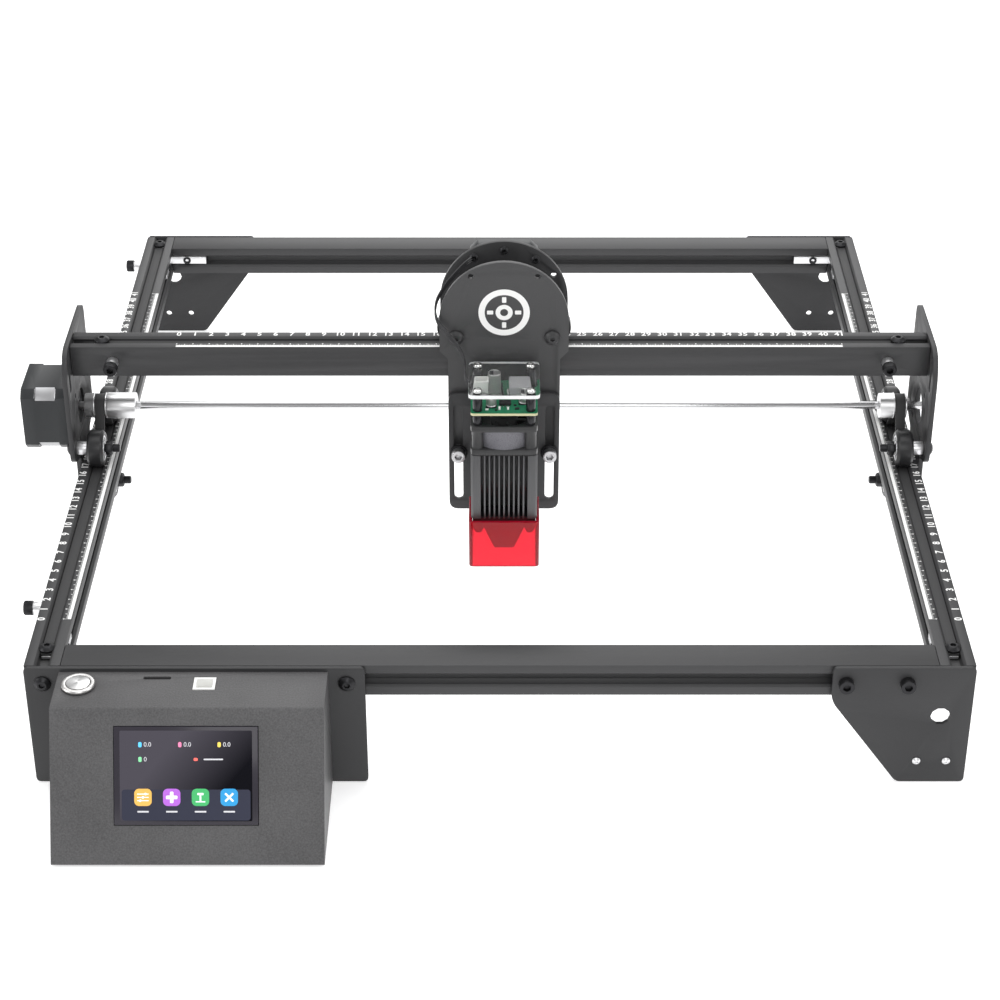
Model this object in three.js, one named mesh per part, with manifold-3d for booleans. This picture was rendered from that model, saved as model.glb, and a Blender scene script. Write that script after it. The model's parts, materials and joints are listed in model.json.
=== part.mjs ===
// Desktop laser engraver: a four-rail frame on leg plates, a belt-driven gantry that rolls along
// the side rails, and a carriage on the gantry's beam that holds a laser head at a set height.
//
// Millimetres. +X is the operator's right, +Y points away from the operator and +Z is up. Inside
// this file Y = 0 is the zero of the side rails' rulers and Z = 0 is the top of the frame. The
// finished group is moved so that its origin is the centre of its footprint.

import * as THREE from "three";
import { mergeVertices } from "three/addons/utils/BufferGeometryUtils.js";
import Module from "manifold-3d";

// ---- Driving dimensions ----

const GAP = 0.3; // between parts that touch on the real machine

// Frame
const FRAME_WIDTH = 525; // over the outer faces of the side rails
const FRAME_DEPTH = 554.8; // over the outer faces of the leg plates
const FRAME_FRONT = -48.2; // outer face of the front leg plates
const LEG_HEIGHT = 78.5;
const LEG_THICKNESS = 2.5;
const LEG_CORNER_RADIUS = 3;
const NARROW_LEG_WIDTH = 79; // three of the four, cut off at a slant
const NARROW_LEG_FOOT = 38.6;
const NARROW_LEG_SHOULDER = 22;
const NARROW_LEG_SCREWS = [71.5, 37.5]; // from the plate's outer edge
const LEG_CABLE_HOLE = 10.5;
const LEG_CABLE_HOLE_INSET = 17.3;
const LEG_CABLE_HOLE_DROP = 32.7;
const LEG_SMALL_HOLE = 4;
const LEG_SMALL_HOLE_INSETS = [28, 11.3];
const LEG_SMALL_HOLE_RISE = 14.8; // above the floor
const WIDE_LEG_SCREW_INSET = 10;

// Slotted extrusion, shared by the rails, the crossbars and the gantry beam
const RAIL = 20;
const SLOT_CHAMFER = 1.4;
const SLOT_LIP = 1.8;
const SLOT_UNDERCUT = 1.3; // height of the slot's widest part
const SLOT_WEB = 1.3; // between neighbouring slots
const SLOT_CORE = 4.1; // from the section's middle to a slot's floor
const SLOT_FLOOR = 5.8;
const RAIL_BORE = 4.2;

// Screws
const M5 = 5;
const M5_HEAD = 9.5;
const M5_HEAD_HEIGHT = 2.8;
const M5_HEAD_RIM = 1; // height of a button head's straight side
const M5_HEAD_CROWN = 5.9; // diameter of its flat top
const CAP_HEAD = 8.5;
const CAP_HEAD_HEIGHT = 5;
const HEX_SOCKET = 3;
const BUTTON_SOCKET_DEPTH = 1.6;
const CAP_SOCKET_DEPTH = 2.5;
const SMALL_SCREW_HOLE = 3.5;
const SHANK_PAST_NUT = 1.2;

// Control box on the front left leg plate
const BOX_WIDTH = 148;
const BOX_LEFT_MARGIN = 19.8; // of leg plate beside the box
const BOX_RIGHT_MARGIN = 20.2;
const BOX_TOP = -2;
const BOX_TOP_DEPTH = 33.4;
const BOX_FOOT_DEPTH = 74.3;
const BOX_FLOOR_GAP = 1;
const BOX_WALL = 1.5;
const BOX_BEND = 1.5; // outer radius of its front edges
const SCREEN_WIDTH = 77.8; // bezel
const SCREEN_HEIGHT = 53.6;
const SCREEN_OFFSET = -0.5; // from the middle of the box
const SCREEN_DOWN = 10; // from the top edge of the slope to the bezel
const SCREEN_THICKNESS = 6;
const SOCKET_PROUD = 0.4; // what the bezel and the USB socket stand out by
const BUTTON_INSET = 12.7; // from the box's left side
const BUTTON_CLEARANCE = 1.1; // between its hole and the main board
const BUTTON_HOLE = 16.6;
const BUTTON_FLANGE = 1.05;
const BUTTON_FLANGE_HEIGHT = 2.2;
const BUTTON_CHAMFER = 0.7;
const BUTTON_WALL = 1.1;
const BUTTON_DEPTH = 9; // of the cap, below the box's top
const BUTTON_BARREL = 13;
const BUTTON_CROWN = 0.4;
const CARD_SLOT_INSET = 54.9; // from the box's left side
const CARD_SLOT_BACK = 5.8; // from the box's back
const CARD_SLOT_WIDTH = 15.2;
const CARD_SLOT_HEIGHT = 2.6;
const CARD_SOCKET_WIDTH = 18;
const CARD_SOCKET_DEPTH = 2.4;
const CARD_SOCKET_HEIGHT = 18;
const USB_INSET = 81.4; // from the box's left side
const USB_BACK = 11.3; // from the box's back
const USB_WIDTH = 12;
const USB_DEPTH = 11;
const USB_LENGTH = 14;
const USB_WALL = 1.5;
const USB_CAVITY = 9;
const JACK_DROP = 38; // below the box's top
const JACK_BACK = 17.5; // from the box's back
const JACK_DIAMETER = 10;
const JACK_LENGTH = 15;
const JACK_BORE = 6.6;
const JACK_DEPTH = 9;
const SOCKET_ARM = 8; // width of the blocks that hold the sockets to the board
const BOARD_THICKNESS = 1.6;
const MAINBOARD_MARGIN = 8;
const MAINBOARD_BACK = 2; // from the leg plate

// Belts and pulleys
const BELT_WIDTH = 6;
const BELT_THICKNESS = 1.4;
const BELT_DEPTH = 2; // below the mouth of the slot it lies in
const BELT_END = 14; // from the rail's end to the belt's end
const PULLEY_RADIUS = 5.9;
const PULLEY_RIM = 2.3; // what a flange stands above the teeth
const PULLEY_FLANGE = 0.8;
const PULLEY_LIFT = 15; // of a side's pulley above its upper wheels
const TOOTH_COUNT = 20;
const TOOTH_DEPTH = 0.7;
const LEFT_HUB = 5.6;
const RIGHT_HUB = 8.6;
const X_HUB = 5.5;
const LOOP_RISE = 1.93; // of a belt's middle line where it clears the belt left in the slot

// Wheels
const WHEEL_RADIUS = 11.7;
const WHEEL_WIDTH = 10.2;
const WHEEL_BITE = 1.7; // how deep the rim runs in a slot
const WHEEL_SIDE_PLAY = 0.4; // between its slanted edge and the slot's mouth
const NUT_HEIGHT = 4.6;
const SPACER_RADIUS = 4;

// Gantry
const GANTRY_Y = 203; // at rest, to the drive shaft
const AXLE_SPREAD = 4.2; // how far the wheels' bolt heads clear the motor, both sides together
const SIDE_PLATE_THICKNESS = 3;
const SIDE_PLATE_PLAY = 2.5; // from a rail's outer face
const SIDE_PLATE_ABOVE_BEAM = 2;
const SIDE_PLATE_BELOW_AXLE = 10; // at the lower wheel
const SIDE_PLATE_SHOULDER_DROP = 6; // below the upper wheels' axles
const SIDE_PLATE_FRONT_MARGIN = 9; // past the front wheel's axle
const SIDE_PLATE_BACK_MARGIN = 11;
const SIDE_TAB_HALF = 19;
const CABLE_SLOT = 5; // width of the slot near a side plate's front edge
const CABLE_SLOT_INSET = 6.5;
const CABLE_SLOT_LENGTH = 23;
const CABLE_SLOT_DROP = 4; // from the beam's top
const BEAM_Y = -10; // beam centre, from the drive shaft
const BEAM_TOP = 77;
const SHAFT_DIAMETER = 5;
const COUPLER_RADIUS = 8.2;
const COUPLER_LENGTH = 18;
const MOTOR_SIZE = 42.3;
const MOTOR_CORNER = 4.6;
const MOTOR_WAIST = 1.6; // what the middle of its body is cut in at the corners
const MOTOR_CAP = 9; // length of each end cap
const MOTOR_BOSS_RADIUS = 11;
const MOTOR_BOSS_HEIGHT = 2;
const MOTOR_SHAFT_DEPTH = 6; // of the shaft inside the motor's front face
const MOTOR_SCREW_INSET = 11.3;
const MOTOR_SCREW_HOLE = 3.4;
const Y_MOTOR_LENGTH = 30.4;
const STOP_BOLT_LENGTH = 12.2; // standing out of a rail's side
const BEAM_STOP_INSET = 26; // from a side plate
const BEAM_STOP_SHANK = 3.4;
const FRONT_STOP_INSET = 71.4; // from the rail's front end
const REAR_STOP_INSET = 28.3;

// Carriage
const CARRIAGE_X = 2.5; // at rest, from the machine's middle
const CARRIAGE_PLATE = 3;
const CARRIAGE_PLAY = 3; // between its plates and the beam
const AXLE_SPREAD_X = 8.7; // how far the wheels' nuts clear the motor, both sides together
const DISC_MARGIN = 10; // past the upper wheels' axles
const DISC_HOLE_INSET = 3.2; // from the rim
const FRONT_DISC_HOLE_ANGLE = 33.8; // degrees, both ways from the top
const REAR_DISC_HOLE_ANGLE = 29; // degrees, from the right
const DISC_LIFT = 11; // of its centre above the upper wheels' axles
const DISC_NECK_DROP = 20.5; // from its centre to where the disc turns into the stem
const DISC_NECK_TAPER = 5.5;
const FRONT_STEM_BOTTOM = -0.8;
const REAR_STEM_HALF = 14;
const REAR_STEM_TOP_DROP = 40; // from the disc's centre
const REAR_STEM_FOOT = 8; // below the lower wheel's axle
const X_MOTOR_LENGTH = 40;

// Laser head
const BRACKET_BOTTOM = -34;
const BRACKET_HEIGHT = 83.5;
const BRACKET_THICKNESS = 2.7;
const BRACKET_CORNER = 6;
const BRACKET_SLOT_MARGIN = 8.15; // from the heat sink to the middle of a slot
const BRACKET_EDGE = 6; // from there to the bracket's edge
const BRACKET_SLOT_LOW = -27;
const BRACKET_SLOT_HIGH = 41;
const CLAMP_RISE = 8.2; // of the clamp bolts above the front plate's lower edge
const WASHER_RADIUS = 5.5;
const WASHER = 1;
const SINK_WIDTH = 40.7;
const SINK_EXTRA_DEPTH = 0.8;
const SINK_BOTTOM = -15.5;
const SINK_HEIGHT = 44.7;
const SINK_FINS = 9;
const SINK_SIDE_GROOVES = 7;
const SINK_FIN_DEPTH = 15;
const SINK_SIDE_DEPTH = 4;
const SINK_COLUMN = 6;
const SINK_CHAMFER = 1.5;
const FIN_SHARE = 0.36; // of the pitch from fin to fin
const FAN_HEIGHT = 19.6;
const FAN_FLANGE = 3.6;
const FAN_WALL = 1.3;
const FAN_DUCT_INSET = 0.5; // of the duct's diameter from the fan's width
const FAN_CORNER = 3;
const FAN_COLUMN_RADIUS = 3.6;
const FAN_HUB = 17;
const FAN_HUB_FLOOR = 2.5;
const FAN_ARM = 3;
const FAN_PIN = 3;
const FAN_PIN_HEIGHT = 10;
const FAN_BLADES = 7;
const FAN_BLADE = 1.2;
const FAN_BLADE_PITCH = 38; // degrees
const FAN_PLAY = 1;
const POST_INSET = 4.35; // from the heat sink's edge
const POST_RADIUS = 3;
const BOARD_RISE = 7.9; // above the fan
const BOARD_INSET = 0.3;
const COVER_RISE = 12.2; // above the board's lower face
const COVER_THICKNESS = 2.4;
const COVER_EXTRA = 2.3; // wider than the heat sink
const COVER_CORNER = 3;
const SHIELD_EXTRA = 2.9;
const SHIELD_WALL = 2.1;
const SHIELD_DEPTH = 31;
const SHIELD_BOTTOM = -48.3;
const SHIELD_STAND = 3.9; // its front, ahead of the heat sink's
const SHIELD_BEND = 3;
const NOZZLE_BOTTOM = -38;
const NOZZLE_SHOULDER = -25;
const NOZZLE_STEP = 3.2; // below the shoulder
const NOZZLE_TIP_HALF = 6;
const NOZZLE_NECK_HALF = 12.5;
const NOZZLE_BACK = 7; // behind the shield's front
const NOZZLE_DEPTH = 27;
const LENS_BORE = 7;
const LENS_DEPTH = 14;
const LEAD_RADIUS = 1.5;

// ---- Values worked out from them ----

const M5_HOLE = M5 + 2 * GAP;
const NUT_ACROSS = M5 + 3;
const SLOT_THROAT = BELT_WIDTH + 2 * GAP;
const SLOT_MOUTH = SLOT_THROAT + 2 * SLOT_CHAMFER;
const SLOT_WIDTH = RAIL - 2 * (SLOT_LIP + SLOT_UNDERCUT + SLOT_WEB);
const SLOT_DEPTH = RAIL / 2 - SLOT_CORE;
const WHEEL_RIM = SLOT_MOUTH - 2 * (WHEEL_BITE + WHEEL_SIDE_PLAY);
const WHEEL_LIFT = WHEEL_RADIUS - WHEEL_BITE; // from the rail's face to the axle
const PULLEY_FLANGE_RADIUS = PULLEY_RADIUS + PULLEY_RIM;
const PULLEY_HALF = BELT_WIDTH / 2 + GAP;

const FRAME_BACK = FRAME_FRONT + FRAME_DEPTH;
const RAIL_FRONT = FRAME_FRONT + LEG_THICKNESS + GAP;
const RAIL_BACK = FRAME_BACK - LEG_THICKNESS - GAP;
const RAIL_X = (FRAME_WIDTH - RAIL) / 2;
const RAIL_Z = -RAIL / 2;
const CROSSBAR_LENGTH = FRAME_WIDTH - 2 * (RAIL + GAP);
const FLOOR = -LEG_HEIGHT;
const WIDE_LEG_WIDTH = BOX_LEFT_MARGIN + BOX_WIDTH + BOX_RIGHT_MARGIN;

const GANTRY_WHEEL_SPACING = MOTOR_SIZE + M5_HEAD + AXLE_SPREAD;
const SIDE_PLATE_INNER = FRAME_WIDTH / 2 + SIDE_PLATE_PLAY;
const SIDE_PLATE_OUTER = SIDE_PLATE_INNER + SIDE_PLATE_THICKNESS;
const BEAM_HALF = SIDE_PLATE_INNER - GAP;
const BEAM_Z = BEAM_TOP - RAIL / 2;
const BEAM_STOP_X = SIDE_PLATE_INNER - BEAM_STOP_INSET;
const SHAFT_Z = WHEEL_LIFT + PULLEY_LIFT;

const CARRIAGE_WHEEL_SPACING = MOTOR_SIZE + NUT_ACROSS + AXLE_SPREAD_X;
const CARRIAGE_REAR = BEAM_Y + RAIL / 2 + CARRIAGE_PLAY; // front face of the rear plate
const CARRIAGE_FRONT = BEAM_Y - RAIL / 2 - CARRIAGE_PLAY - CARRIAGE_PLATE; // front face of the front plate
const DISC_RADIUS = CARRIAGE_WHEEL_SPACING / 2 + DISC_MARGIN;
const DISC_Z = BEAM_TOP + WHEEL_LIFT + DISC_LIFT;
const CLAMP_Z = FRONT_STEM_BOTTOM + CLAMP_RISE;

const SINK_DEPTH = SINK_WIDTH + SINK_EXTRA_DEPTH;
const SINK_TOP = SINK_BOTTOM + SINK_HEIGHT;
const BRACKET_SLOT = M5_HOLE;
const BRACKET_SLOT_X = SINK_WIDTH / 2 + BRACKET_SLOT_MARGIN;
const BRACKET_HALF = BRACKET_SLOT_X + BRACKET_EDGE;
const POST_OFFSET = SINK_WIDTH / 2 - POST_INSET;
const SHIELD_WIDTH = SINK_WIDTH + SHIELD_EXTRA;

// ---- Solids ----

const wasm = await Module();
wasm.setup();

// A closed geometry as a solid that can be joined and cut.
function toSolid(geometry) {
  const bare = geometry.clone();
  bare.deleteAttribute("normal");
  bare.deleteAttribute("uv");
  const merged = mergeVertices(bare, 1e-4);
  const corners = [];
  const index = merged.index.array;
  for (let i = 0; i < index.length; i += 3) {
    const [a, b, c] = [index[i], index[i + 1], index[i + 2]];
    if (a !== b && b !== c && c !== a) corners.push(a, b, c);
  }
  return new wasm.Manifold(
    new wasm.Mesh({
      numProp: 3,
      vertProperties: merged.attributes.position.array,
      triVerts: new Uint32Array(corners),
    }),
  );
}

// A solid as a geometry again.
function toGeometry(solid) {
  const { vertProperties, triVerts } = solid.getMesh();
  const geometry = new THREE.BufferGeometry();
  geometry.setAttribute("position", new THREE.BufferAttribute(vertProperties, 3));
  geometry.setIndex(new THREE.BufferAttribute(triVerts, 1));
  geometry.computeVertexNormals();
  return geometry;
}

// base less each of the tools, and the parts made one.
function cut(base, ...tools) {
  return toGeometry(tools.reduce((rest, tool) => rest.subtract(toSolid(tool)), toSolid(base)));
}

function join(...parts) {
  return toGeometry(parts.slice(1).reduce((sum, part) => sum.add(toSolid(part)), toSolid(parts[0])));
}

// A block between two corners.
function block([x0, y0, z0], [x1, y1, z1]) {
  const box = new THREE.BoxGeometry(x1 - x0, y1 - y0, z1 - z0);
  return box.translate((x0 + x1) / 2, (y0 + y1) / 2, (z0 + z1) / 2);
}

const TURN_Y_TO = {
  x: new THREE.Matrix4().makeRotationZ(-Math.PI / 2),
  y: new THREE.Matrix4(),
  z: new THREE.Matrix4().makeRotationX(Math.PI / 2),
};

// A rod along an axis, from one value on that axis to another, centred on the other two.
function rod(axis, radius, from, to, [x, y, z] = [0, 0, 0], sides = 16) {
  const length = to - from;
  const cylinder = new THREE.CylinderGeometry(radius, radius, length, sides);
  cylinder.applyMatrix4(TURN_Y_TO[axis]);
  const middle = { x: 0, y: 0, z: 0, [axis]: (from + to) / 2 };
  return cylinder.translate(x + middle.x, y + middle.y, z + middle.z);
}

// A solid of revolution about an axis. Its outline is a closed list of [radius, distance along].
function turned(axis, outline, sides = 20) {
  const points = outline.map(([radius, along]) => new THREE.Vector2(radius, along));
  points.push(points[0].clone());
  if (THREE.ShapeUtils.area(points) < 0) points.reverse();
  return new THREE.LatheGeometry(points, sides).applyMatrix4(TURN_Y_TO[axis]);
}

// The plane a flat outline lies in, with the axis that it is thickened along.
const PLANES = {
  xy: new THREE.Matrix4(),
  yz: new THREE.Matrix4().makeBasis(
    new THREE.Vector3(0, 1, 0),
    new THREE.Vector3(0, 0, 1),
    new THREE.Vector3(1, 0, 0),
  ),
  xz: new THREE.Matrix4().makeBasis(
    new THREE.Vector3(1, 0, 0),
    new THREE.Vector3(0, 0, 1),
    new THREE.Vector3(0, -1, 0),
  ),
};

// An outline thickened from one value to another along the third axis.
function slab(shape, plane, from, to, curveSegments = 8) {
  const options = { depth: to - from, bevelEnabled: false, curveSegments };
  const geometry = new THREE.ExtrudeGeometry(shape, options);
  if (plane === "xz") geometry.translate(0, 0, -to);
  else geometry.translate(0, 0, from);
  return geometry.applyMatrix4(PLANES[plane]);
}

// A closed outline through points, with the corner at each point rounded by its third value.
function outline(points) {
  const shape = new THREE.Shape();
  points.forEach(([x, y, radius = 0], i) => {
    const here = new THREE.Vector2(x, y);
    const before = new THREE.Vector2(...points[(i + points.length - 1) % points.length]).sub(here);
    const after = new THREE.Vector2(...points[(i + 1) % points.length]).sub(here);
    const reach = Math.min(radius, before.length() / 2, after.length() / 2);
    const start = here.clone().add(before.setLength(reach));
    const end = here.clone().add(after.setLength(reach));
    if (i === 0) shape.moveTo(start.x, start.y);
    else shape.lineTo(start.x, start.y);
    if (reach > 0) shape.quadraticCurveTo(here.x, here.y, end.x, end.y);
  });
  shape.closePath();
  return shape;
}

function rectangle(x0, y0, x1, y1, radius = 0) {
  return outline([
    [x0, y0, radius],
    [x1, y0, radius],
    [x1, y1, radius],
    [x0, y1, radius],
  ]);
}

// A round hole whose flats touch its circle, so that a rod of that diameter clears it.
function roundHole(shape, x, y, diameter, sides = diameter > 12 ? 24 : 10) {
  const radius = diameter / 2 / Math.cos(Math.PI / sides);
  const hole = new THREE.Path();
  for (let i = 0; i < sides; i += 1) {
    const angle = (-i * 2 * Math.PI) / sides;
    const point = [x + radius * Math.cos(angle), y + radius * Math.sin(angle)];
    if (i === 0) hole.moveTo(...point);
    else hole.lineTo(...point);
  }
  hole.closePath();
  shape.holes.push(hole);
}

function ownHole(shape, hole) {
  shape.holes.push(new THREE.Path(hole.getPoints(4).reverse()));
}

// A strip of even thickness along a line of points, as an outline.
function ribbon(points, thickness) {
  const left = [];
  const right = [];
  points.forEach((point, i) => {
    const before = points[Math.max(i - 1, 0)];
    const after = points[Math.min(i + 1, points.length - 1)];
    const along = after.clone().sub(before).normalize();
    const across = new THREE.Vector2(-along.y, along.x).multiplyScalar(thickness / 2);
    left.push(point.clone().add(across));
    right.unshift(point.clone().sub(across));
  });
  return new THREE.Shape([...left, ...right]);
}

// ---- Finishes ----

function finish(color, roughness, metalness = 0) {
  return new THREE.MeshStandardMaterial({ color, roughness, metalness });
}

const powderCoat = finish(0x3c3c3e, 0.55, 0.1);
const anodised = finish(0x2c2c2e, 0.45, 0.4);
const sinkBlack = finish(0x202022, 0.4, 0.5);
const steel = finish(0xc8c8ca, 0.25, 1);
const blackSteel = finish(0x1d1d1f, 0.4, 0.6);
const wheelPlastic = finish(0x171717, 0.5);
const beltRubber = finish(0x2e2e2e, 0.8);
const motorBlack = finish(0x333335, 0.5, 0.3);
const aluminium = finish(0xd0d0d2, 0.3, 1);
const boardGreen = finish(0x1e8c69, 0.4);
const shieldRed = finish(0xed4250, 0.1);
shieldRed.transparent = true;
shieldRed.opacity = 0.6;
const clearSheet = finish(0xffffff, 0.05);
clearSheet.transparent = true;
clearSheet.opacity = 0.3;
const screenGlass = finish(0x15151c, 0.1);
const cableBlack = finish(0x111111, 0.6);

function part(parent, name, geometry, material, [x, y, z] = [0, 0, 0]) {
  const mesh = new THREE.Mesh(geometry, material);
  mesh.name = name;
  mesh.position.set(x, y, z);
  parent.add(mesh);
  return mesh;
}

// ---- Slotted extrusion ----

// The section of an extrusion: a square with a V-mouthed slot in each side that is listed, and a
// bore down its middle. Sides are counted anticlockwise from the top.
function slottedSection(slottedSides) {
  const half = RAIL / 2;
  const slot = [
    [SLOT_MOUTH / 2, half],
    [SLOT_THROAT / 2, half - SLOT_CHAMFER],
    [SLOT_THROAT / 2, half - SLOT_LIP],
    [SLOT_WIDTH / 2, half - SLOT_LIP],
    [SLOT_WIDTH / 2, half - SLOT_LIP - SLOT_UNDERCUT],
    [SLOT_FLOOR / 2, half - SLOT_DEPTH],
  ];
  const mirrored = slot.map(([x, y]) => [-x, y]).reverse();
  const points = [];
  ["top", "left", "bottom", "right"].forEach((side, quarter) => {
    const turn = (quarter * Math.PI) / 2;
    const local = [[half, half]];
    if (slottedSides.includes(side)) local.push(...slot, ...mirrored);
    for (const [x, y] of local) {
      points.push(new THREE.Vector2(x, y).rotateAround(new THREE.Vector2(), turn));
    }
  });
  const shape = new THREE.Shape(points);
  roundHole(shape, 0, 0, RAIL_BORE);
  return shape;
}

// A length of extrusion along Y or X, centred on its own section.
function extrusion(axis, slottedSides, from, to) {
  const section = slottedSection(slottedSides);
  if (axis === "y") return slab(section, "xz", from, to, 3);
  return slab(section, "yz", from, to, 3);
}

// ---- Screws ----

// A hexagonal recess for a key, sunk into a head's outer end.
function keySocket(axis, sign, end, depth) {
  const low = sign > 0 ? end - depth : end - 1;
  const high = sign > 0 ? end + 1 : end + depth;
  return rod(axis, HEX_SOCKET / 2, low, high, [0, 0, 0], 6);
}

// A button head standing from a face at base, out along sign on the axis.
function buttonHead(axis, sign, base) {
  const crown = base + sign * M5_HEAD_HEIGHT;
  const edge = [
    [0, base],
    [M5_HEAD / 2, base],
    [M5_HEAD / 2, base + sign * M5_HEAD_RIM],
    [M5_HEAD_CROWN / 2, crown],
    [0, crown],
  ];
  return cut(turned(axis, edge, 12), keySocket(axis, sign, crown, BUTTON_SOCKET_DEPTH));
}

function capHead(axis, sign, base) {
  const [low, high] = sign > 0 ? [base, base + CAP_HEAD_HEIGHT] : [base - CAP_HEAD_HEIGHT, base];
  const head = rod(axis, CAP_HEAD / 2, low, high, [0, 0, 0], 12);
  return cut(head, keySocket(axis, sign, base + sign * CAP_HEAD_HEIGHT, CAP_SOCKET_DEPTH));
}

// A stop bolt: a shank into the rail, a spacer that stands out and a cap head on it.
function stopBolt(axis, sign, face, shankLength) {
  const seat = face + sign * GAP;
  const spacerEnd = seat + sign * (STOP_BOLT_LENGTH - CAP_HEAD_HEIGHT);
  const root = face - sign * shankLength;
  const shank = rod(axis, M5 / 2, Math.min(root, spacerEnd), Math.max(root, spacerEnd), undefined, 12);
  const spacer = rod(axis, CAP_HEAD / 2, Math.min(seat, spacerEnd), Math.max(seat, spacerEnd), undefined, 12);
  return join(shank, spacer, capHead(axis, sign, spacerEnd));
}

// ---- Frame ----

const machine = new THREE.Group();
const frame = new THREE.Group();
machine.add(frame);

for (const [name, side] of [["left_rail", -1], ["right_rail", 1]]) {
  const slots = ["top", "left", "bottom", "right"];
  part(frame, name, extrusion("y", slots, RAIL_FRONT, RAIL_BACK), anodised, [side * RAIL_X, 0, RAIL_Z]);
}

// A crossbar has a plain top. Seen along +X, its front side is the section's left.
for (const [name, y] of [
  ["front_crossbar", RAIL_FRONT + RAIL / 2],
  ["rear_crossbar", RAIL_BACK - RAIL / 2],
]) {
  const slots = ["left", "bottom", "right"];
  const bar = extrusion("x", slots, -CROSSBAR_LENGTH / 2, CROSSBAR_LENGTH / 2);
  part(frame, name, bar, anodised, [0, y, RAIL_Z]);
}

// The legs' plates, with their screws made one with them. A narrow plate's outline is given from
// its outer edge inwards, and side is +1 for a plate on the right.
function narrowLegOutline(side) {
  const outer = FRAME_WIDTH / 2;
  const points = [
    [outer, 0, LEG_CORNER_RADIUS],
    [outer - NARROW_LEG_WIDTH, 0, LEG_CORNER_RADIUS],
    [outer - NARROW_LEG_WIDTH, -NARROW_LEG_SHOULDER, 2 * LEG_CORNER_RADIUS],
    [outer - NARROW_LEG_FOOT, FLOOR, LEG_CORNER_RADIUS],
    [outer, FLOOR, LEG_CORNER_RADIUS],
  ];
  const placed = points.map(([x, z, radius]) => [side * x, z, radius]);
  const shape = outline(side > 0 ? placed : placed.reverse());
  roundHole(shape, side * (outer - LEG_CABLE_HOLE_INSET), -LEG_CABLE_HOLE_DROP, LEG_CABLE_HOLE);
  for (const inset of LEG_SMALL_HOLE_INSETS) {
    roundHole(shape, side * (outer - inset), FLOOR + LEG_SMALL_HOLE_RISE, LEG_SMALL_HOLE);
  }
  return shape;
}

function narrowLeg(side, plateFrom, faceSign, head) {
  const plate = slab(narrowLegOutline(side), "xz", plateFrom, plateFrom + LEG_THICKNESS);
  const face = faceSign < 0 ? plateFrom : plateFrom + LEG_THICKNESS;
  const screws = NARROW_LEG_SCREWS.map((inset) =>
    head("y", faceSign, face).translate(side * (FRAME_WIDTH / 2 - inset), 0, RAIL_Z),
  );
  return join(plate, ...screws);
}

const REAR_PLATE_FROM = FRAME_BACK - LEG_THICKNESS;
part(frame, "front_right_leg_plate", narrowLeg(1, FRAME_FRONT, -1, capHead), powderCoat);
part(frame, "rear_left_leg_plate", narrowLeg(-1, REAR_PLATE_FROM, 1, buttonHead), powderCoat);
part(frame, "rear_right_leg_plate", narrowLeg(1, REAR_PLATE_FROM, 1, buttonHead), powderCoat);

const wideLegLeft = -FRAME_WIDTH / 2;
const wideLegRight = wideLegLeft + WIDE_LEG_WIDTH;
const wideLegShape = rectangle(wideLegLeft, FLOOR, wideLegRight, 0, LEG_CORNER_RADIUS);
part(
  frame,
  "front_left_leg_plate",
  join(
    slab(wideLegShape, "xz", FRAME_FRONT, FRAME_FRONT + LEG_THICKNESS),
    ...[wideLegLeft + WIDE_LEG_SCREW_INSET, wideLegRight - WIDE_LEG_SCREW_INSET].map((x) =>
      buttonHead("y", -1, FRAME_FRONT).translate(x, 0, RAIL_Z),
    ),
  ),
  powderCoat,
);

// The belts lie along the slots, clamped near both ends of each rail.
const beltSection = (from, to) => [
  [-BELT_WIDTH / 2, from, -BELT_DEPTH - BELT_THICKNESS],
  [BELT_WIDTH / 2, to, -BELT_DEPTH],
];
for (const [name, side] of [["left_belt", -1], ["right_belt", 1]]) {
  const belt = block(...beltSection(RAIL_FRONT + BELT_END, RAIL_BACK - BELT_END));
  part(frame, name, belt, beltRubber, [side * RAIL_X, 0, 0]);
}

// Two stop bolts in the left rail's outer slot end the gantry's travel.
for (const [name, y] of [
  ["front_stop_bolt", RAIL_FRONT + FRONT_STOP_INSET],
  ["rear_stop_bolt", RAIL_BACK - REAR_STOP_INSET],
]) {
  const bolt = stopBolt("x", -1, -FRAME_WIDTH / 2, SLOT_DEPTH - 2 * GAP);
  part(frame, name, bolt, blackSteel, [0, y, RAIL_Z]);
}

// ---- Control box ----

const controlBox = new THREE.Group();
frame.add(controlBox);

const BOX_BACK = FRAME_FRONT - GAP;
const BOX_LEFT = wideLegLeft + BOX_LEFT_MARGIN;
const BOX_RIGHT = BOX_LEFT + BOX_WIDTH;
const BOX_BOTTOM = FLOOR + BOX_FLOOR_GAP;
const SLOPE = Math.atan2(BOX_FOOT_DEPTH - BOX_TOP_DEPTH, BOX_TOP - BOX_BOTTOM);

// The box's side outline, drawn in by a wall everywhere but at its back, which the leg closes.
function boxOutline(wall) {
  const slant = wall / Math.cos(SLOPE);
  const run = Math.tan(SLOPE);
  const top = BOX_TOP - wall;
  const bottom = BOX_BOTTOM + wall;
  const frontAt = (z) => BOX_BACK - BOX_TOP_DEPTH - (BOX_TOP - z) * run + slant;
  const back = wall > 0 ? BOX_BACK + 1 : BOX_BACK;
  const radius = wall > 0 ? 0 : BOX_BEND;
  return outline([
    [back, bottom],
    [back, top],
    [frontAt(top), top, radius],
    [frontAt(bottom), bottom, radius],
  ]);
}

// Something on the slope: built flat, with Y down the slope as -Y and its outer face at Z = 0.
function ontoSlope(geometry) {
  geometry.rotateX(Math.PI / 2 - SLOPE);
  return geometry.translate(0, BOX_BACK - BOX_TOP_DEPTH, BOX_TOP);
}

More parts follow.
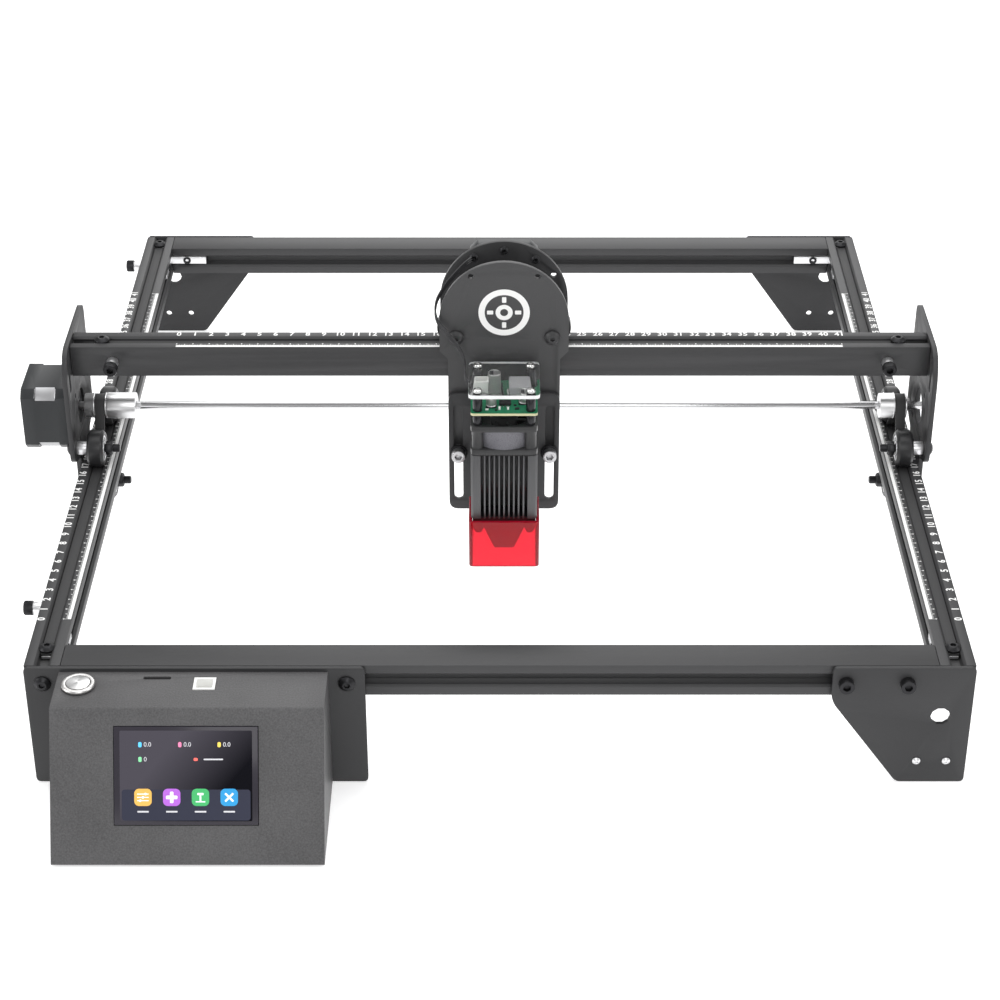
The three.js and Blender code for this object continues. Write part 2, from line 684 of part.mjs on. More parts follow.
const screenX = (BOX_LEFT + BOX_RIGHT) / 2 + SCREEN_OFFSET;
const screenFrom = [screenX - SCREEN_WIDTH / 2, -SCREEN_DOWN - SCREEN_HEIGHT];
const screenTo = [screenX + SCREEN_WIDTH / 2, -SCREEN_DOWN];

// The main board stands along the leg plate. The push button and the sockets go through the top
// and the left side of the box.
const boardBack = BOX_BACK - MAINBOARD_BACK;
const boardFront = boardBack - BOARD_THICKNESS;
const buttonX = BOX_LEFT + BUTTON_INSET;
const buttonY = boardFront - BUTTON_CLEARANCE - BUTTON_HOLE / 2;
const cardX = BOX_LEFT + CARD_SLOT_INSET;
const cardY = BOX_BACK - CARD_SLOT_BACK;
const usbX = BOX_LEFT + USB_INSET;
const usbY = BOX_BACK - USB_BACK;
const jackY = BOX_BACK - JACK_BACK;
const jackZ = BOX_TOP - JACK_DROP;

part(
  controlBox,
  "control_box_shell",
  cut(
    slab(boxOutline(0), "yz", BOX_LEFT, BOX_RIGHT),
    slab(boxOutline(BOX_WALL), "yz", BOX_LEFT + BOX_WALL, BOX_RIGHT - BOX_WALL),
    ontoSlope(
      block([screenFrom[0] - GAP, screenFrom[1] - GAP, -5], [screenTo[0] + GAP, screenTo[1] + GAP, 5]),
    ),
    rod("z", BUTTON_HOLE / 2, BOX_TOP - 5, BOX_TOP + 5, [buttonX, buttonY, 0]),
    slab(
      rectangle(
        cardX - CARD_SLOT_WIDTH / 2,
        cardY - CARD_SLOT_HEIGHT / 2,
        cardX + CARD_SLOT_WIDTH / 2,
        cardY + CARD_SLOT_HEIGHT / 2,
        CARD_SLOT_HEIGHT / 3,
      ),
      "xy",
      BOX_TOP - 5,
      BOX_TOP + 5,
      3,
    ),
    block(
      [usbX - USB_WIDTH / 2 - GAP, usbY - USB_DEPTH / 2 - GAP, BOX_TOP - 5],
      [usbX + USB_WIDTH / 2 + GAP, usbY + USB_DEPTH / 2 + GAP, BOX_TOP + 5],
    ),
    rod("x", JACK_DIAMETER / 2 + GAP, BOX_LEFT - 5, BOX_LEFT + 5, [0, jackY, jackZ]),
  ),
  powderCoat,
);

part(
  controlBox,
  "touchscreen",
  ontoSlope(block([...screenFrom, -SCREEN_THICKNESS], [...screenTo, SOCKET_PROUD])),
  screenGlass,
);

const usbTop = BOX_TOP + SOCKET_PROUD;
const usbBottom = usbTop - USB_LENGTH;
const jackEnd = BOX_LEFT + GAP;
const boardRise = BUTTON_CLEARANCE + GAP; // of the board's lower and upper edges from the box's walls
const mainboardBody = join(
  block(
    [BOX_LEFT + MAINBOARD_MARGIN, boardFront, BOX_BOTTOM + BOX_WALL + 5 * boardRise],
    [BOX_RIGHT - MAINBOARD_MARGIN, boardBack, BOX_TOP - BOX_WALL - 4 * boardRise],
  ),
  block(
    [usbX - USB_WIDTH / 2, usbY - USB_DEPTH / 2, usbBottom],
    [usbX + USB_WIDTH / 2, usbY + USB_DEPTH / 2, usbTop],
  ),
  block(
    [usbX - SOCKET_ARM / 2, usbY, usbBottom],
    [usbX + SOCKET_ARM / 2, boardBack, usbBottom + SOCKET_ARM / 2],
  ),
  block(
    [
      cardX - CARD_SOCKET_WIDTH / 2,
      boardFront - CARD_SOCKET_DEPTH,
      BOX_TOP - BOX_WALL - GAP - CARD_SOCKET_HEIGHT,
    ],
    [cardX + CARD_SOCKET_WIDTH / 2, boardFront + BOARD_THICKNESS / 2, BOX_TOP - BOX_WALL - GAP],
  ),
  rod("x", JACK_DIAMETER / 2, jackEnd, jackEnd + JACK_LENGTH, [0, jackY, jackZ]),
  block(
    [jackEnd + JACK_DEPTH, jackY, jackZ - SOCKET_ARM / 2],
    [jackEnd + JACK_LENGTH, boardBack, jackZ + SOCKET_ARM / 2],
  ),
);
part(
  controlBox,
  "mainboard",
  cut(
    mainboardBody,
    block(
      [usbX - USB_WIDTH / 2 + USB_WALL, usbY - USB_DEPTH / 2 + USB_WALL, usbTop - USB_CAVITY],
      [usbX + USB_WIDTH / 2 - USB_WALL, usbY + USB_DEPTH / 2 - USB_WALL, usbTop + 1],
    ),
    rod("x", JACK_BORE / 2, jackEnd - 1, jackEnd + JACK_DEPTH, [0, jackY, jackZ], 16),
  ),
  boardGreen,
);

// The push button: a threaded barrel with a flange on the box's top, and the cap that sinks in it.
const barrelRadius = BUTTON_HOLE / 2 - GAP;
const barrelBore = barrelRadius - BUTTON_WALL;
const flangeRadius = BUTTON_HOLE / 2 + BUTTON_FLANGE;
const capRadius = barrelBore - GAP;
part(
  controlBox,
  "power_button_ring",
  turned("z", [
    [barrelBore, -BUTTON_BARREL],
    [barrelRadius, -BUTTON_BARREL],
    [barrelRadius, GAP],
    [flangeRadius, GAP],
    [flangeRadius, BUTTON_FLANGE_HEIGHT - BUTTON_CHAMFER],
    [flangeRadius - BUTTON_CHAMFER, BUTTON_FLANGE_HEIGHT],
    [barrelBore, BUTTON_FLANGE_HEIGHT],
  ]),
  steel,
  [buttonX, buttonY, BOX_TOP],
);
part(
  controlBox,
  "power_button_cap",
  turned("z", [
    [0, -BUTTON_DEPTH],
    [capRadius, -BUTTON_DEPTH],
    [capRadius, BUTTON_FLANGE_HEIGHT + BUTTON_CROWN / 2],
    [0, BUTTON_FLANGE_HEIGHT + 1.5 * BUTTON_CROWN],
  ]),
  steel,
  [buttonX, buttonY, BOX_TOP],
);

// ---- Wheels, axles, pulleys and belt loops ----

// A V-edged wheel on the X axis, centred on its own middle.
function vWheel() {
  const half = WHEEL_WIDTH / 2;
  const shoulder = WHEEL_RADIUS - (half - WHEEL_RIM / 2);
  const bore = M5_HOLE / 2;
  return turned("x", [
    [bore, -half],
    [shoulder, -half],
    [WHEEL_RADIUS, -WHEEL_RIM / 2],
    [WHEEL_RADIUS, WHEEL_RIM / 2],
    [shoulder, half],
    [bore, half],
  ]);
}

// A wheel's bolt: a head outside its plate, a shank, a spacer inside the plate and a nut past the
// wheel. The plate and the wheel are given by how far their faces lie along +X from the head.
function wheelAxle(plateThickness, wheelNear) {
  const wheelFar = wheelNear + WHEEL_WIDTH;
  const plateFar = plateThickness + 2 * GAP;
  const nutNear = wheelFar + GAP;
  const nutFar = nutNear + NUT_HEIGHT;
  return join(
    buttonHead("x", -1, 0),
    rod("x", M5 / 2, -1, nutFar + SHANK_PAST_NUT, undefined, 10),
    rod("x", SPACER_RADIUS, plateFar, wheelNear - GAP, undefined, 12),
    rod("x", NUT_ACROSS / Math.sqrt(3), nutNear, nutFar, undefined, 6),
  );
}

// A belt's way up from the slot between two wheels and over a pulley, as points in a plane whose
// first axis runs along the belt. The pulley is at the origin and the wheels are below it.
function loopLine(wheelSpacing, pulleyRise) {
  const wheel = new THREE.Vector2(-wheelSpacing / 2, -pulleyRise);
  const wheelRadius = WHEEL_RADIUS + GAP + BELT_THICKNESS / 2;
  const pulleyRadius = PULLEY_RADIUS + GAP + BELT_THICKNESS / 2;
  // The belt crosses between the circles, so it leaves both at the same angle.
  const between = new THREE.Vector2().sub(wheel);
  const tilt = Math.asin((wheelRadius + pulleyRadius) / between.length());
  const direction = between.angle() + tilt;
  const normal = direction - Math.PI / 2;
  const half = [];
  const start = -Math.PI / 2 + Math.acos(1 - LOOP_RISE / wheelRadius);
  const onWheel = (angle) =>
    new THREE.Vector2(Math.cos(angle), Math.sin(angle)).multiplyScalar(wheelRadius).add(wheel);
  const steps = 4;
  for (let i = 0; i <= steps; i += 1) half.push(onWheel(start + ((normal - start) * i) / steps));
  const leave = normal + Math.PI;
  for (let i = 0; i < steps; i += 1) {
    const angle = leave + ((Math.PI / 2 - leave) * i) / steps;
    half.push(new THREE.Vector2(Math.cos(angle), Math.sin(angle)).multiplyScalar(pulleyRadius));
  }
  const mirrored = half.map((point) => new THREE.Vector2(-point.x, point.y)).reverse();
  return [...half, new THREE.Vector2(0, pulleyRadius), ...mirrored];
}

function beltLoop(plane, wheelSpacing, pulleyRise) {
  const strip = ribbon(loopLine(wheelSpacing, pulleyRise), BELT_THICKNESS);
  return slab(strip, plane, -BELT_WIDTH / 2, BELT_WIDTH / 2);
}

// A toothed pulley on the X axis, centred on its belt, with its hub on the side of hubSign.
function pulley(hubSign, hubLength, bore) {
  const teeth = [];
  for (let i = 0; i < TOOTH_COUNT * 2; i += 1) {
    const angle = (i * Math.PI) / TOOTH_COUNT;
    const radius = i % 2 ? PULLEY_RADIUS - TOOTH_DEPTH : PULLEY_RADIUS;
    teeth.push(new THREE.Vector2(Math.cos(angle), Math.sin(angle)).multiplyScalar(radius));
  }
  const far = PULLEY_HALF + PULLEY_FLANGE;
  const hubEnd = hubSign * (far + hubLength);
  const body = join(
    slab(new THREE.Shape(teeth), "yz", -far, far),
    rod("x", PULLEY_FLANGE_RADIUS, -far, -PULLEY_HALF),
    rod("x", PULLEY_FLANGE_RADIUS, PULLEY_HALF, far),
    rod("x", PULLEY_FLANGE_RADIUS - GAP, Math.min(hubSign * far, hubEnd), Math.max(hubSign * far, hubEnd)),
  );
  return bore > 0 ? cut(body, rod("x", bore / 2, -50, 50, undefined, 12)) : body;
}

// A stepping motor: its axis is X, its front face is at 0 and it extends to the -X side. Its
// shaft turns in a blind bore and belongs to what the motor drives.
function motor(length) {
  const half = MOTOR_SIZE / 2;
  const square = (inset) =>
    outline([
      [half, half - inset],
      [half - inset, half],
      [-half + inset, half],
      [-half, half - inset],
      [-half, -half + inset],
      [-half + inset, -half],
      [half - inset, -half],
      [half, -half + inset],
    ]);
  return cut(
    join(
      slab(square(MOTOR_CORNER + MOTOR_WAIST), "yz", 1 - length, -1),
      slab(square(MOTOR_CORNER), "yz", -length, MOTOR_CAP - length),
      slab(square(MOTOR_CORNER), "yz", -MOTOR_CAP, 0),
      rod("x", MOTOR_BOSS_RADIUS, -1, MOTOR_BOSS_HEIGHT, undefined, 24),
    ),
    rod("x", SHAFT_DIAMETER / 2 + GAP, -MOTOR_SHAFT_DEPTH - 2, MOTOR_BOSS_HEIGHT + 1, undefined, 12),
  );
}

// ---- Gantry ----

const gantry = new THREE.Group();
gantry.position.y = GANTRY_Y;
machine.add(gantry);

part(
  gantry,
  "x_beam",
  cut(
    extrusion("x", ["top", "bottom", "right"], -BEAM_HALF, BEAM_HALF),
    ...[-1, 1].map((side) =>
      rod("y", M5_HOLE / 2, -RAIL, -RAIL / 2 + BEAM_STOP_SHANK + 1.6, [side * BEAM_STOP_X, 0, 0], 12),
    ),
  ),
  anodised,
  [0, BEAM_Y, BEAM_Z],
);

// Two bolts in the beam's front face end the carriage's travel.
for (const [name, side] of [["left_beam_stop", -1], ["right_beam_stop", 1]]) {
  const bolt = stopBolt("y", -1, -RAIL / 2, BEAM_STOP_SHANK);
  part(gantry, name, bolt, blackSteel, [side * BEAM_STOP_X, BEAM_Y, BEAM_Z]);
}

const xBelt = block(
  [BELT_END - BEAM_HALF, -BELT_WIDTH / 2, -BELT_DEPTH - BELT_THICKNESS],
  [BEAM_HALF - BELT_END, BELT_WIDTH / 2, -BELT_DEPTH],
);
part(gantry, "x_belt", xBelt, beltRubber, [0, BEAM_Y, BEAM_TOP]);

// Where the three wheels of a side turn, from the drive shaft and the frame's top.
const SIDE_WHEELS = [
  ["front", -GANTRY_WHEEL_SPACING / 2, WHEEL_LIFT],
  ["rear", GANTRY_WHEEL_SPACING / 2, WHEEL_LIFT],
  ["lower", 0, -RAIL - WHEEL_LIFT],
];

function sidePlate() {
  const [front, , lower] = SIDE_WHEELS;
  const foot = lower[2] - SIDE_PLATE_BELOW_AXLE;
  const shoulder = front[2] - SIDE_PLATE_SHOULDER_DROP;
  const frontEdge = front[1] - SIDE_PLATE_FRONT_MARGIN;
  const backEdge = -front[1] + SIDE_PLATE_BACK_MARGIN;
  const top = BEAM_TOP + SIDE_PLATE_ABOVE_BEAM;
  const shape = outline([
    [-SIDE_TAB_HALF, foot, 6],
    [SIDE_TAB_HALF, foot, 6],
    [SIDE_TAB_HALF, shoulder - 6, 4],
    [backEdge, shoulder, 6],
    [backEdge, top, 8],
    [frontEdge + 8, top, 8],
    [frontEdge, top - 14, 10],
    [frontEdge, shoulder, 6],
    [-SIDE_TAB_HALF, shoulder - 6, 4],
  ]);
  for (const [, y, z] of SIDE_WHEELS) roundHole(shape, y, z, M5_HOLE);
  roundHole(shape, BEAM_Y, BEAM_Z, M5_HOLE);
  roundHole(shape, 0, SHAFT_Z, 2 * (MOTOR_BOSS_RADIUS + GAP));
  const reach = (MOTOR_SIZE - MOTOR_SCREW_INSET) / 2;
  for (const y of [-reach, reach]) {
    for (const z of [-reach, reach]) roundHole(shape, y, SHAFT_Z + z, MOTOR_SCREW_HOLE);
  }
  const slotFront = frontEdge + CABLE_SLOT_INSET;
  const slotTop = BEAM_TOP - CABLE_SLOT_DROP;
  const slot = rectangle(slotFront, slotTop - CABLE_SLOT_LENGTH, slotFront + CABLE_SLOT, slotTop, 2);
  ownHole(shape, slot);
  return shape;
}

for (const [name, side] of [["left", -1], ["right", 1]]) {
  const [from, to] =
    side < 0 ? [-SIDE_PLATE_OUTER, -SIDE_PLATE_INNER] : [SIDE_PLATE_INNER, SIDE_PLATE_OUTER];
  part(gantry, name + "_side_plate", slab(sidePlate(), "yz", from, to, 5), powderCoat);

  const headSeat = SIDE_PLATE_OUTER + GAP;
  const wheelNear = headSeat - RAIL_X - WHEEL_WIDTH / 2;
  for (const [place, y, z] of SIDE_WHEELS) {
    const axle = wheelAxle(SIDE_PLATE_THICKNESS, wheelNear);
    const mesh = part(gantry, `${name}_${place}_axle`, axle, blackSteel, [side * headSeat, y, z]);
    if (side > 0) mesh.rotation.z = Math.PI;
    part(gantry, `${name}_${place}_wheel`, vWheel(), wheelPlastic, [side * RAIL_X, y, z]);
  }
  const loop = beltLoop("yz", GANTRY_WHEEL_SPACING, SHAFT_Z - WHEEL_LIFT);
  part(gantry, name + "_belt_loop", loop, beltRubber, [side * RAIL_X, 0, SHAFT_Z]);
}

const yMotorFace = -SIDE_PLATE_OUTER - GAP;
part(gantry, "y_motor", motor(Y_MOTOR_LENGTH), motorBlack, [yMotorFace, 0, SHAFT_Z]);

// The drive shaft: the motor's own shaft carries the left pulley and a coupler, and the long rod
// goes from the coupler through the right pulley into the right plate.
const drive = new THREE.Group();
drive.position.z = SHAFT_Z;
gantry.add(drive);

const pulleyReach = PULLEY_HALF + PULLEY_FLANGE;
const shaftBore = SHAFT_DIAMETER + 2 * GAP;
part(drive, "left_pulley", pulley(-1, LEFT_HUB, shaftBore), aluminium, [-RAIL_X, 0, 0]);
part(drive, "right_pulley", pulley(-1, RIGHT_HUB, shaftBore), aluminium, [RAIL_X, 0, 0]);

const couplerFrom = -RAIL_X + pulleyReach + GAP;
const couplerTo = couplerFrom + COUPLER_LENGTH;
const rodFrom = couplerTo - COUPLER_LENGTH / 2 + 1;
part(
  drive,
  "shaft_coupler",
  join(
    cut(
      rod("x", COUPLER_RADIUS, couplerFrom, couplerTo, undefined, 24),
      rod("x", shaftBore / 2, rodFrom - GAP, couplerTo + 1, undefined, 12),
    ),
    rod("x", SHAFT_DIAMETER / 2, yMotorFace - MOTOR_SHAFT_DEPTH, couplerFrom + 1, undefined, 12),
  ),
  aluminium,
);
part(
  drive,
  "drive_shaft",
  rod("x", SHAFT_DIAMETER / 2, rodFrom, SIDE_PLATE_OUTER - GAP, undefined, 20),
  steel,
);

// ---- Carriage ----

const carriage = new THREE.Group();
carriage.position.x = CARRIAGE_X;
gantry.add(carriage);

const carriageWheels = [
  [-CARRIAGE_WHEEL_SPACING / 2, BEAM_TOP + WHEEL_LIFT],
  [CARRIAGE_WHEEL_SPACING / 2, BEAM_TOP + WHEEL_LIFT],
  [0, BEAM_TOP - RAIL - WHEEL_LIFT],
];

// A disc that carries the X motor's end of the carriage, with a stem below it.
function carriageOutline(stemTop, stemBottom, stemHalf) {
  const neck = DISC_Z - DISC_NECK_DROP;
  const shape = new THREE.Shape();
  shape.absarc(0, DISC_Z, DISC_RADIUS, 0, Math.PI, false);
  shape.lineTo(-DISC_RADIUS, neck);
  shape.lineTo(-stemHalf, stemTop);
  shape.lineTo(-stemHalf, stemBottom);
  shape.lineTo(stemHalf, stemBottom);
  shape.lineTo(stemHalf, stemTop);
  shape.lineTo(DISC_RADIUS, neck);
  shape.closePath();
  for (const [x, z] of carriageWheels) roundHole(shape, x, z, M5_HOLE);
  return shape;
}

// A small hole in a disc, by how far it is from the rim and its angle in degrees.
function discHole(shape, inset, degrees) {
  const angle = THREE.MathUtils.degToRad(degrees);
  const reach = DISC_RADIUS - inset;
  roundHole(shape, reach * Math.cos(angle), DISC_Z + reach * Math.sin(angle), SMALL_SCREW_HOLE);
}

const frontStemTop = DISC_Z - DISC_NECK_DROP - DISC_NECK_TAPER;
const frontOutline = carriageOutline(frontStemTop, FRONT_STEM_BOTTOM, BRACKET_HALF);
for (const side of [-1, 1]) {
  discHole(frontOutline, DISC_HOLE_INSET, 90 + side * FRONT_DISC_HOLE_ANGLE);
  roundHole(frontOutline, side * BRACKET_SLOT_X, CLAMP_Z, M5_HOLE);
}
part(
  carriage,
  "carriage_front_plate",
  slab(frontOutline, "xz", CARRIAGE_FRONT, CARRIAGE_FRONT + CARRIAGE_PLATE, 14),
  powderCoat,
);

// The rear plate is made one with the three bolts that join the plates and carry the wheels. The
// upper two have heads in front; the lower one ends inside the front plate, clear of the bracket.
const wheelFront = BEAM_Y - WHEEL_WIDTH / 2;
const wheelBack = BEAM_Y + WHEEL_WIDTH / 2;
const lowerAxleZ = carriageWheels[2][1];
const rearOutline = carriageOutline(DISC_Z - REAR_STEM_TOP_DROP, lowerAxleZ - REAR_STEM_FOOT, REAR_STEM_HALF);
roundHole(rearOutline, 0, DISC_Z, 2 * (MOTOR_BOSS_RADIUS + GAP));
discHole(rearOutline, DISC_HOLE_INSET + 1.4, REAR_DISC_HOLE_ANGLE);
const rearFace = CARRIAGE_REAR + CARRIAGE_PLATE;
const carriageBolts = carriageWheels.flatMap(([x, z]) => {
  const axle = [x, 0, z];
  return [
    rod("y", M5 / 2, CARRIAGE_FRONT, rearFace, axle, 10),
    rod("y", SPACER_RADIUS, CARRIAGE_FRONT + CARRIAGE_PLATE + GAP, wheelFront - GAP, axle, 12),
    rod("y", SPACER_RADIUS, wheelBack + GAP, CARRIAGE_REAR + 1, axle, 12),
    rod("y", NUT_ACROSS / Math.sqrt(3), CARRIAGE_REAR + 1, rearFace + NUT_HEIGHT, axle, 6),
  ];
});
for (const [x, z] of carriageWheels.slice(0, 2)) {
  carriageBolts.push(
    buttonHead("y", -1, CARRIAGE_FRONT - GAP).translate(x, 0, z),
    rod("y", M5 / 2, CARRIAGE_FRONT - GAP - 0.5, CARRIAGE_FRONT + 1, [x, 0, z], 10),
  );
}
part(
  carriage,
  "carriage_rear_plate",
  join(slab(rearOutline, "xz", CARRIAGE_REAR, CARRIAGE_REAR + CARRIAGE_PLATE, 14), ...carriageBolts),
  powderCoat,
);

carriageWheels.forEach(([x, z], i) => {
  const name = `carriage_${["left", "right", "lower"][i]}_wheel`;
  const wheel = part(carriage, name, vWheel(), wheelPlastic, [x, BEAM_Y, z]);
  wheel.rotation.z = Math.PI / 2;
});

const xMotor = motor(X_MOTOR_LENGTH);
const motorMesh = part(carriage, "x_motor", xMotor, motorBlack, [
  0,
  CARRIAGE_REAR + CARRIAGE_PLATE + GAP,
  DISC_Z,
]);
motorMesh.rotation.z = -Math.PI / 2;

// The X pulley on the motor's shaft.
const xPulley = join(
  pulley(-1, X_HUB, 0),
  rod("x", SHAFT_DIAMETER / 2, BEAM_Y - rearFace - GAP - MOTOR_SHAFT_DEPTH, 0, undefined, 16),
);
const pulleyMesh = part(carriage, "x_pulley", xPulley, aluminium, [0, BEAM_Y, DISC_Z]);
pulleyMesh.rotation.z = -Math.PI / 2;

// Two bolts through the bracket's slots clamp the head to the front plate.
const bracketBack = CARRIAGE_FRONT - GAP;
const bracketFront = bracketBack - BRACKET_THICKNESS;
for (const [name, side] of [["left_clamp_bolt", -1], ["right_clamp_bolt", 1]]) {
  const washerBack = bracketFront - GAP;
  const washerFront = washerBack - WASHER;
  const bolt = join(
    buttonHead("y", -1, washerFront),
    rod("y", WASHER_RADIUS, washerFront, washerBack),
    rod("y", M5 / 2, washerFront - WASHER / 2, CARRIAGE_FRONT + CARRIAGE_PLATE + 2, undefined, 12),
  );
  part(carriage, name, bolt, steel, [side * BRACKET_SLOT_X, 0, CLAMP_Z]);
}

// ---- Laser head ----

const head = new THREE.Group();
carriage.add(head);

const sinkBack = bracketFront - GAP;
const sinkFront = sinkBack - SINK_DEPTH;
const sinkMiddle = (sinkBack + sinkFront) / 2;

const bracketShape = rectangle(
  -BRACKET_HALF,
  BRACKET_BOTTOM,
  BRACKET_HALF,
  BRACKET_BOTTOM + BRACKET_HEIGHT,
  BRACKET_CORNER,
);
for (const side of [-1, 1]) {
  const centre = side * BRACKET_SLOT_X;
  const slot = new THREE.Path();
  const radius = BRACKET_SLOT / 2;
  slot.absarc(centre, BRACKET_SLOT_HIGH - radius, radius, Math.PI, 0, true);
  slot.absarc(centre, BRACKET_SLOT_LOW + radius, radius, 0, -Math.PI, true);
  slot.closePath();
  bracketShape.holes.push(slot);
}
part(head, "laser_bracket", slab(bracketShape, "xz", bracketFront, bracketBack, 6), powderCoat);

// The heat sink's section: fins along its front, shallow grooves in its sides and plain corners.
function sinkSection() {
  const half = SINK_WIDTH / 2;
  const inner = half - SINK_COLUMN;
  const pitch = (2 * inner) / (SINK_FINS + 1 - FIN_SHARE);
  const groove = pitch * (1 - FIN_SHARE);
  const points = [
    [-half, sinkFront + SINK_CHAMFER],
    [-half + SINK_CHAMFER, sinkFront],
    [-inner, sinkFront],
  ];
  for (let i = 0; i <= SINK_FINS; i += 1) {
    const left = -inner + i * pitch;
    points.push([left, sinkFront + SINK_FIN_DEPTH], [left + groove, sinkFront + SINK_FIN_DEPTH]);
    points.push([left + groove, sinkFront]);
    if (i < SINK_FINS) points.push([left + pitch, sinkFront]);
  }
  points.push([half - SINK_CHAMFER, sinkFront], [half, sinkFront + SINK_CHAMFER]);
  const sidePitch = (SINK_DEPTH - 2 * SINK_COLUMN) / (SINK_SIDE_GROOVES + 1 - FIN_SHARE);
  const side = [];
  for (let i = 0; i <= SINK_SIDE_GROOVES; i += 1) {
    const near = sinkFront + SINK_COLUMN + i * sidePitch;
    const far = near + sidePitch * (1 - FIN_SHARE);
    side.push([half, near], [half - SINK_SIDE_DEPTH, near], [half - SINK_SIDE_DEPTH, far], [half, far]);
  }
  points.push(...side, [half, sinkBack], [-half, sinkBack]);
  points.push(...side.map(([x, y]) => [-x, y]).reverse());
  return new THREE.Shape(points.map(([x, y]) => new THREE.Vector2(x, y)));
}
part(head, "heat_sink", slab(sinkSection(), "xy", SINK_BOTTOM, SINK_TOP), sinkBlack);

// The fan: two square flanges, a round duct between them, corner posts and a hub on four arms.
const fanBottom = SINK_TOP + GAP;
const fanTop = fanBottom + FAN_HEIGHT;
const fanHalf = SINK_WIDTH / 2;
const fanCentre = [0, sinkMiddle, 0];
const postAt = (x, y) => [x * POST_OFFSET, sinkMiddle + y * POST_OFFSET, 0];
function fanFlange(from, to) {
  const [near, far] = [sinkMiddle - fanHalf, sinkMiddle + fanHalf];
  const shape = rectangle(-fanHalf, near, fanHalf, far, FAN_CORNER);
  return slab(shape, "xy", from, to, 2);
}
const fanDuct = SINK_WIDTH - FAN_DUCT_INSET;
const fanBore = fanDuct / 2 - FAN_WALL;
const fanArms = [0, 1].map((i) => {
  const reach = fanDuct / 2 - FAN_WALL / 2;
  const hubTop = fanBottom + FAN_HUB_FLOOR;
  const arm = block([-reach, -FAN_ARM / 2, fanBottom], [reach, FAN_ARM / 2, hubTop]);
  return arm.rotateZ(Math.PI / 4 + (i * Math.PI) / 2).translate(0, sinkMiddle, 0);
});
part(
  head,
  "fan_frame",
  join(
    cut(
      join(
        fanFlange(fanBottom, fanBottom + FAN_FLANGE),
        fanFlange(fanTop - FAN_FLANGE, fanTop),
        rod("z", fanDuct / 2, fanBottom + 1, fanTop - 1, fanCentre, 28),
        ...[-1, 1].flatMap((x) =>
          [-1, 1].map((y) =>
            rod("z", FAN_COLUMN_RADIUS, fanBottom + 1, fanTop - 1, postAt(x, y), 12),
          ),
        ),
      ),
      rod("z", fanBore, fanBottom - 1, fanTop + 1, fanCentre, 28),
    ),
    ...fanArms,
    rod("z", FAN_HUB / 2, fanBottom, fanBottom + FAN_HUB_FLOOR, fanCentre),
    rod("z", FAN_PIN / 2, fanBottom + 1, fanBottom + FAN_PIN_HEIGHT, fanCentre, 12),
  ),
  wheelPlastic,
);

// The fan's rotor: a cup over the hub's pin, with swept blades round it.
const rotorLow = fanBottom + FAN_HUB_FLOOR + FAN_PLAY;
const rotorHigh = fanTop - FAN_PLAY;
const bladeRoot = FAN_HUB / 2 - 1.6;
const bladeTip = fanBore - FAN_PLAY - 0.6;
const blades = Array.from({ length: FAN_BLADES }, (_, i) => {
  const blade = new THREE.BoxGeometry(bladeTip - bladeRoot, FAN_BLADE, rotorHigh - rotorLow - 2);
  blade.rotateX(THREE.MathUtils.degToRad(FAN_BLADE_PITCH));
  blade.translate((bladeTip + bladeRoot) / 2, 0, (rotorLow + rotorHigh) / 2);
  return blade.rotateZ((i * 2 * Math.PI) / FAN_BLADES).translate(0, sinkMiddle, 0);
});
part(
  head,
  "fan_rotor",
  cut(
    join(rod("z", FAN_HUB / 2, rotorLow, rotorHigh, fanCentre, 20), ...blades),
    rod("z", FAN_PIN / 2 + GAP, rotorLow - 1, fanBottom + FAN_PIN_HEIGHT + GAP, fanCentre, 16),
  ),
  wheelPlastic,
);

// The driver board on its posts, with the parts soldered on it made one with it.
const boardBottom = fanTop + BOARD_RISE;
const boardTop = boardBottom + BOARD_THICKNESS;
const boardHalf = SINK_WIDTH / 2 - BOARD_INSET / 2;
const coverBottom = boardBottom + COVER_RISE;
const posts = [-1, 1].flatMap((x) =>
  [-1, 1].map((y) => rod("z", POST_RADIUS, fanTop + GAP, coverBottom - GAP, postAt(x, y), 12)),
);
// [middle in X, middle in Y, width, depth, height] of each block on the board.
const BOARD_BLOCKS = [
  [-12.5, 7, 10, 6.5, 7], // plug
  [9, 6, 12.5, 12.5, 6], // inductor
  [2, -8, 7, 6, 2], // driver chip
];
// [middle in X, middle in Y, diameter, height] of each capacitor.
const CAPACITORS = [
  [-2, 13, 8, 9],
  [-7, -9, 6.4, 7],
];
const SOLDERED = BOARD_THICKNESS / 4; // what a component is sunk in the board, to be one with it
part(
  head,
  "driver_board",
  join(
    block(
      [-boardHalf, sinkMiddle - boardHalf, boardBottom],
      [boardHalf, sinkMiddle + boardHalf, boardTop],
    ),
    ...posts,
    ...BOARD_BLOCKS.map(([x, y, width, depth, height]) =>
      block(
        [x - width / 2, sinkMiddle + y - depth / 2, boardTop - SOLDERED],
        [x + width / 2, sinkMiddle + y + depth / 2, boardTop + height],
      ),
    ),
    ...CAPACITORS.map(([x, y, diameter, height]) =>
      rod("z", diameter / 2, boardTop - SOLDERED, boardTop + height, [x, sinkMiddle + y, 0], 12),
    ),
  ),
  boardGreen,
);

const coverHalf = (SINK_WIDTH + COVER_EXTRA) / 2;
const [coverFront, coverBack] = [sinkMiddle - coverHalf, sinkMiddle + coverHalf];
const coverShape = rectangle(-coverHalf, coverFront, coverHalf, coverBack, COVER_CORNER);
const cover = slab(coverShape, "xy", coverBottom, coverBottom + COVER_THICKNESS, 3);
part(head, "clear_cover", cover, clearSheet);

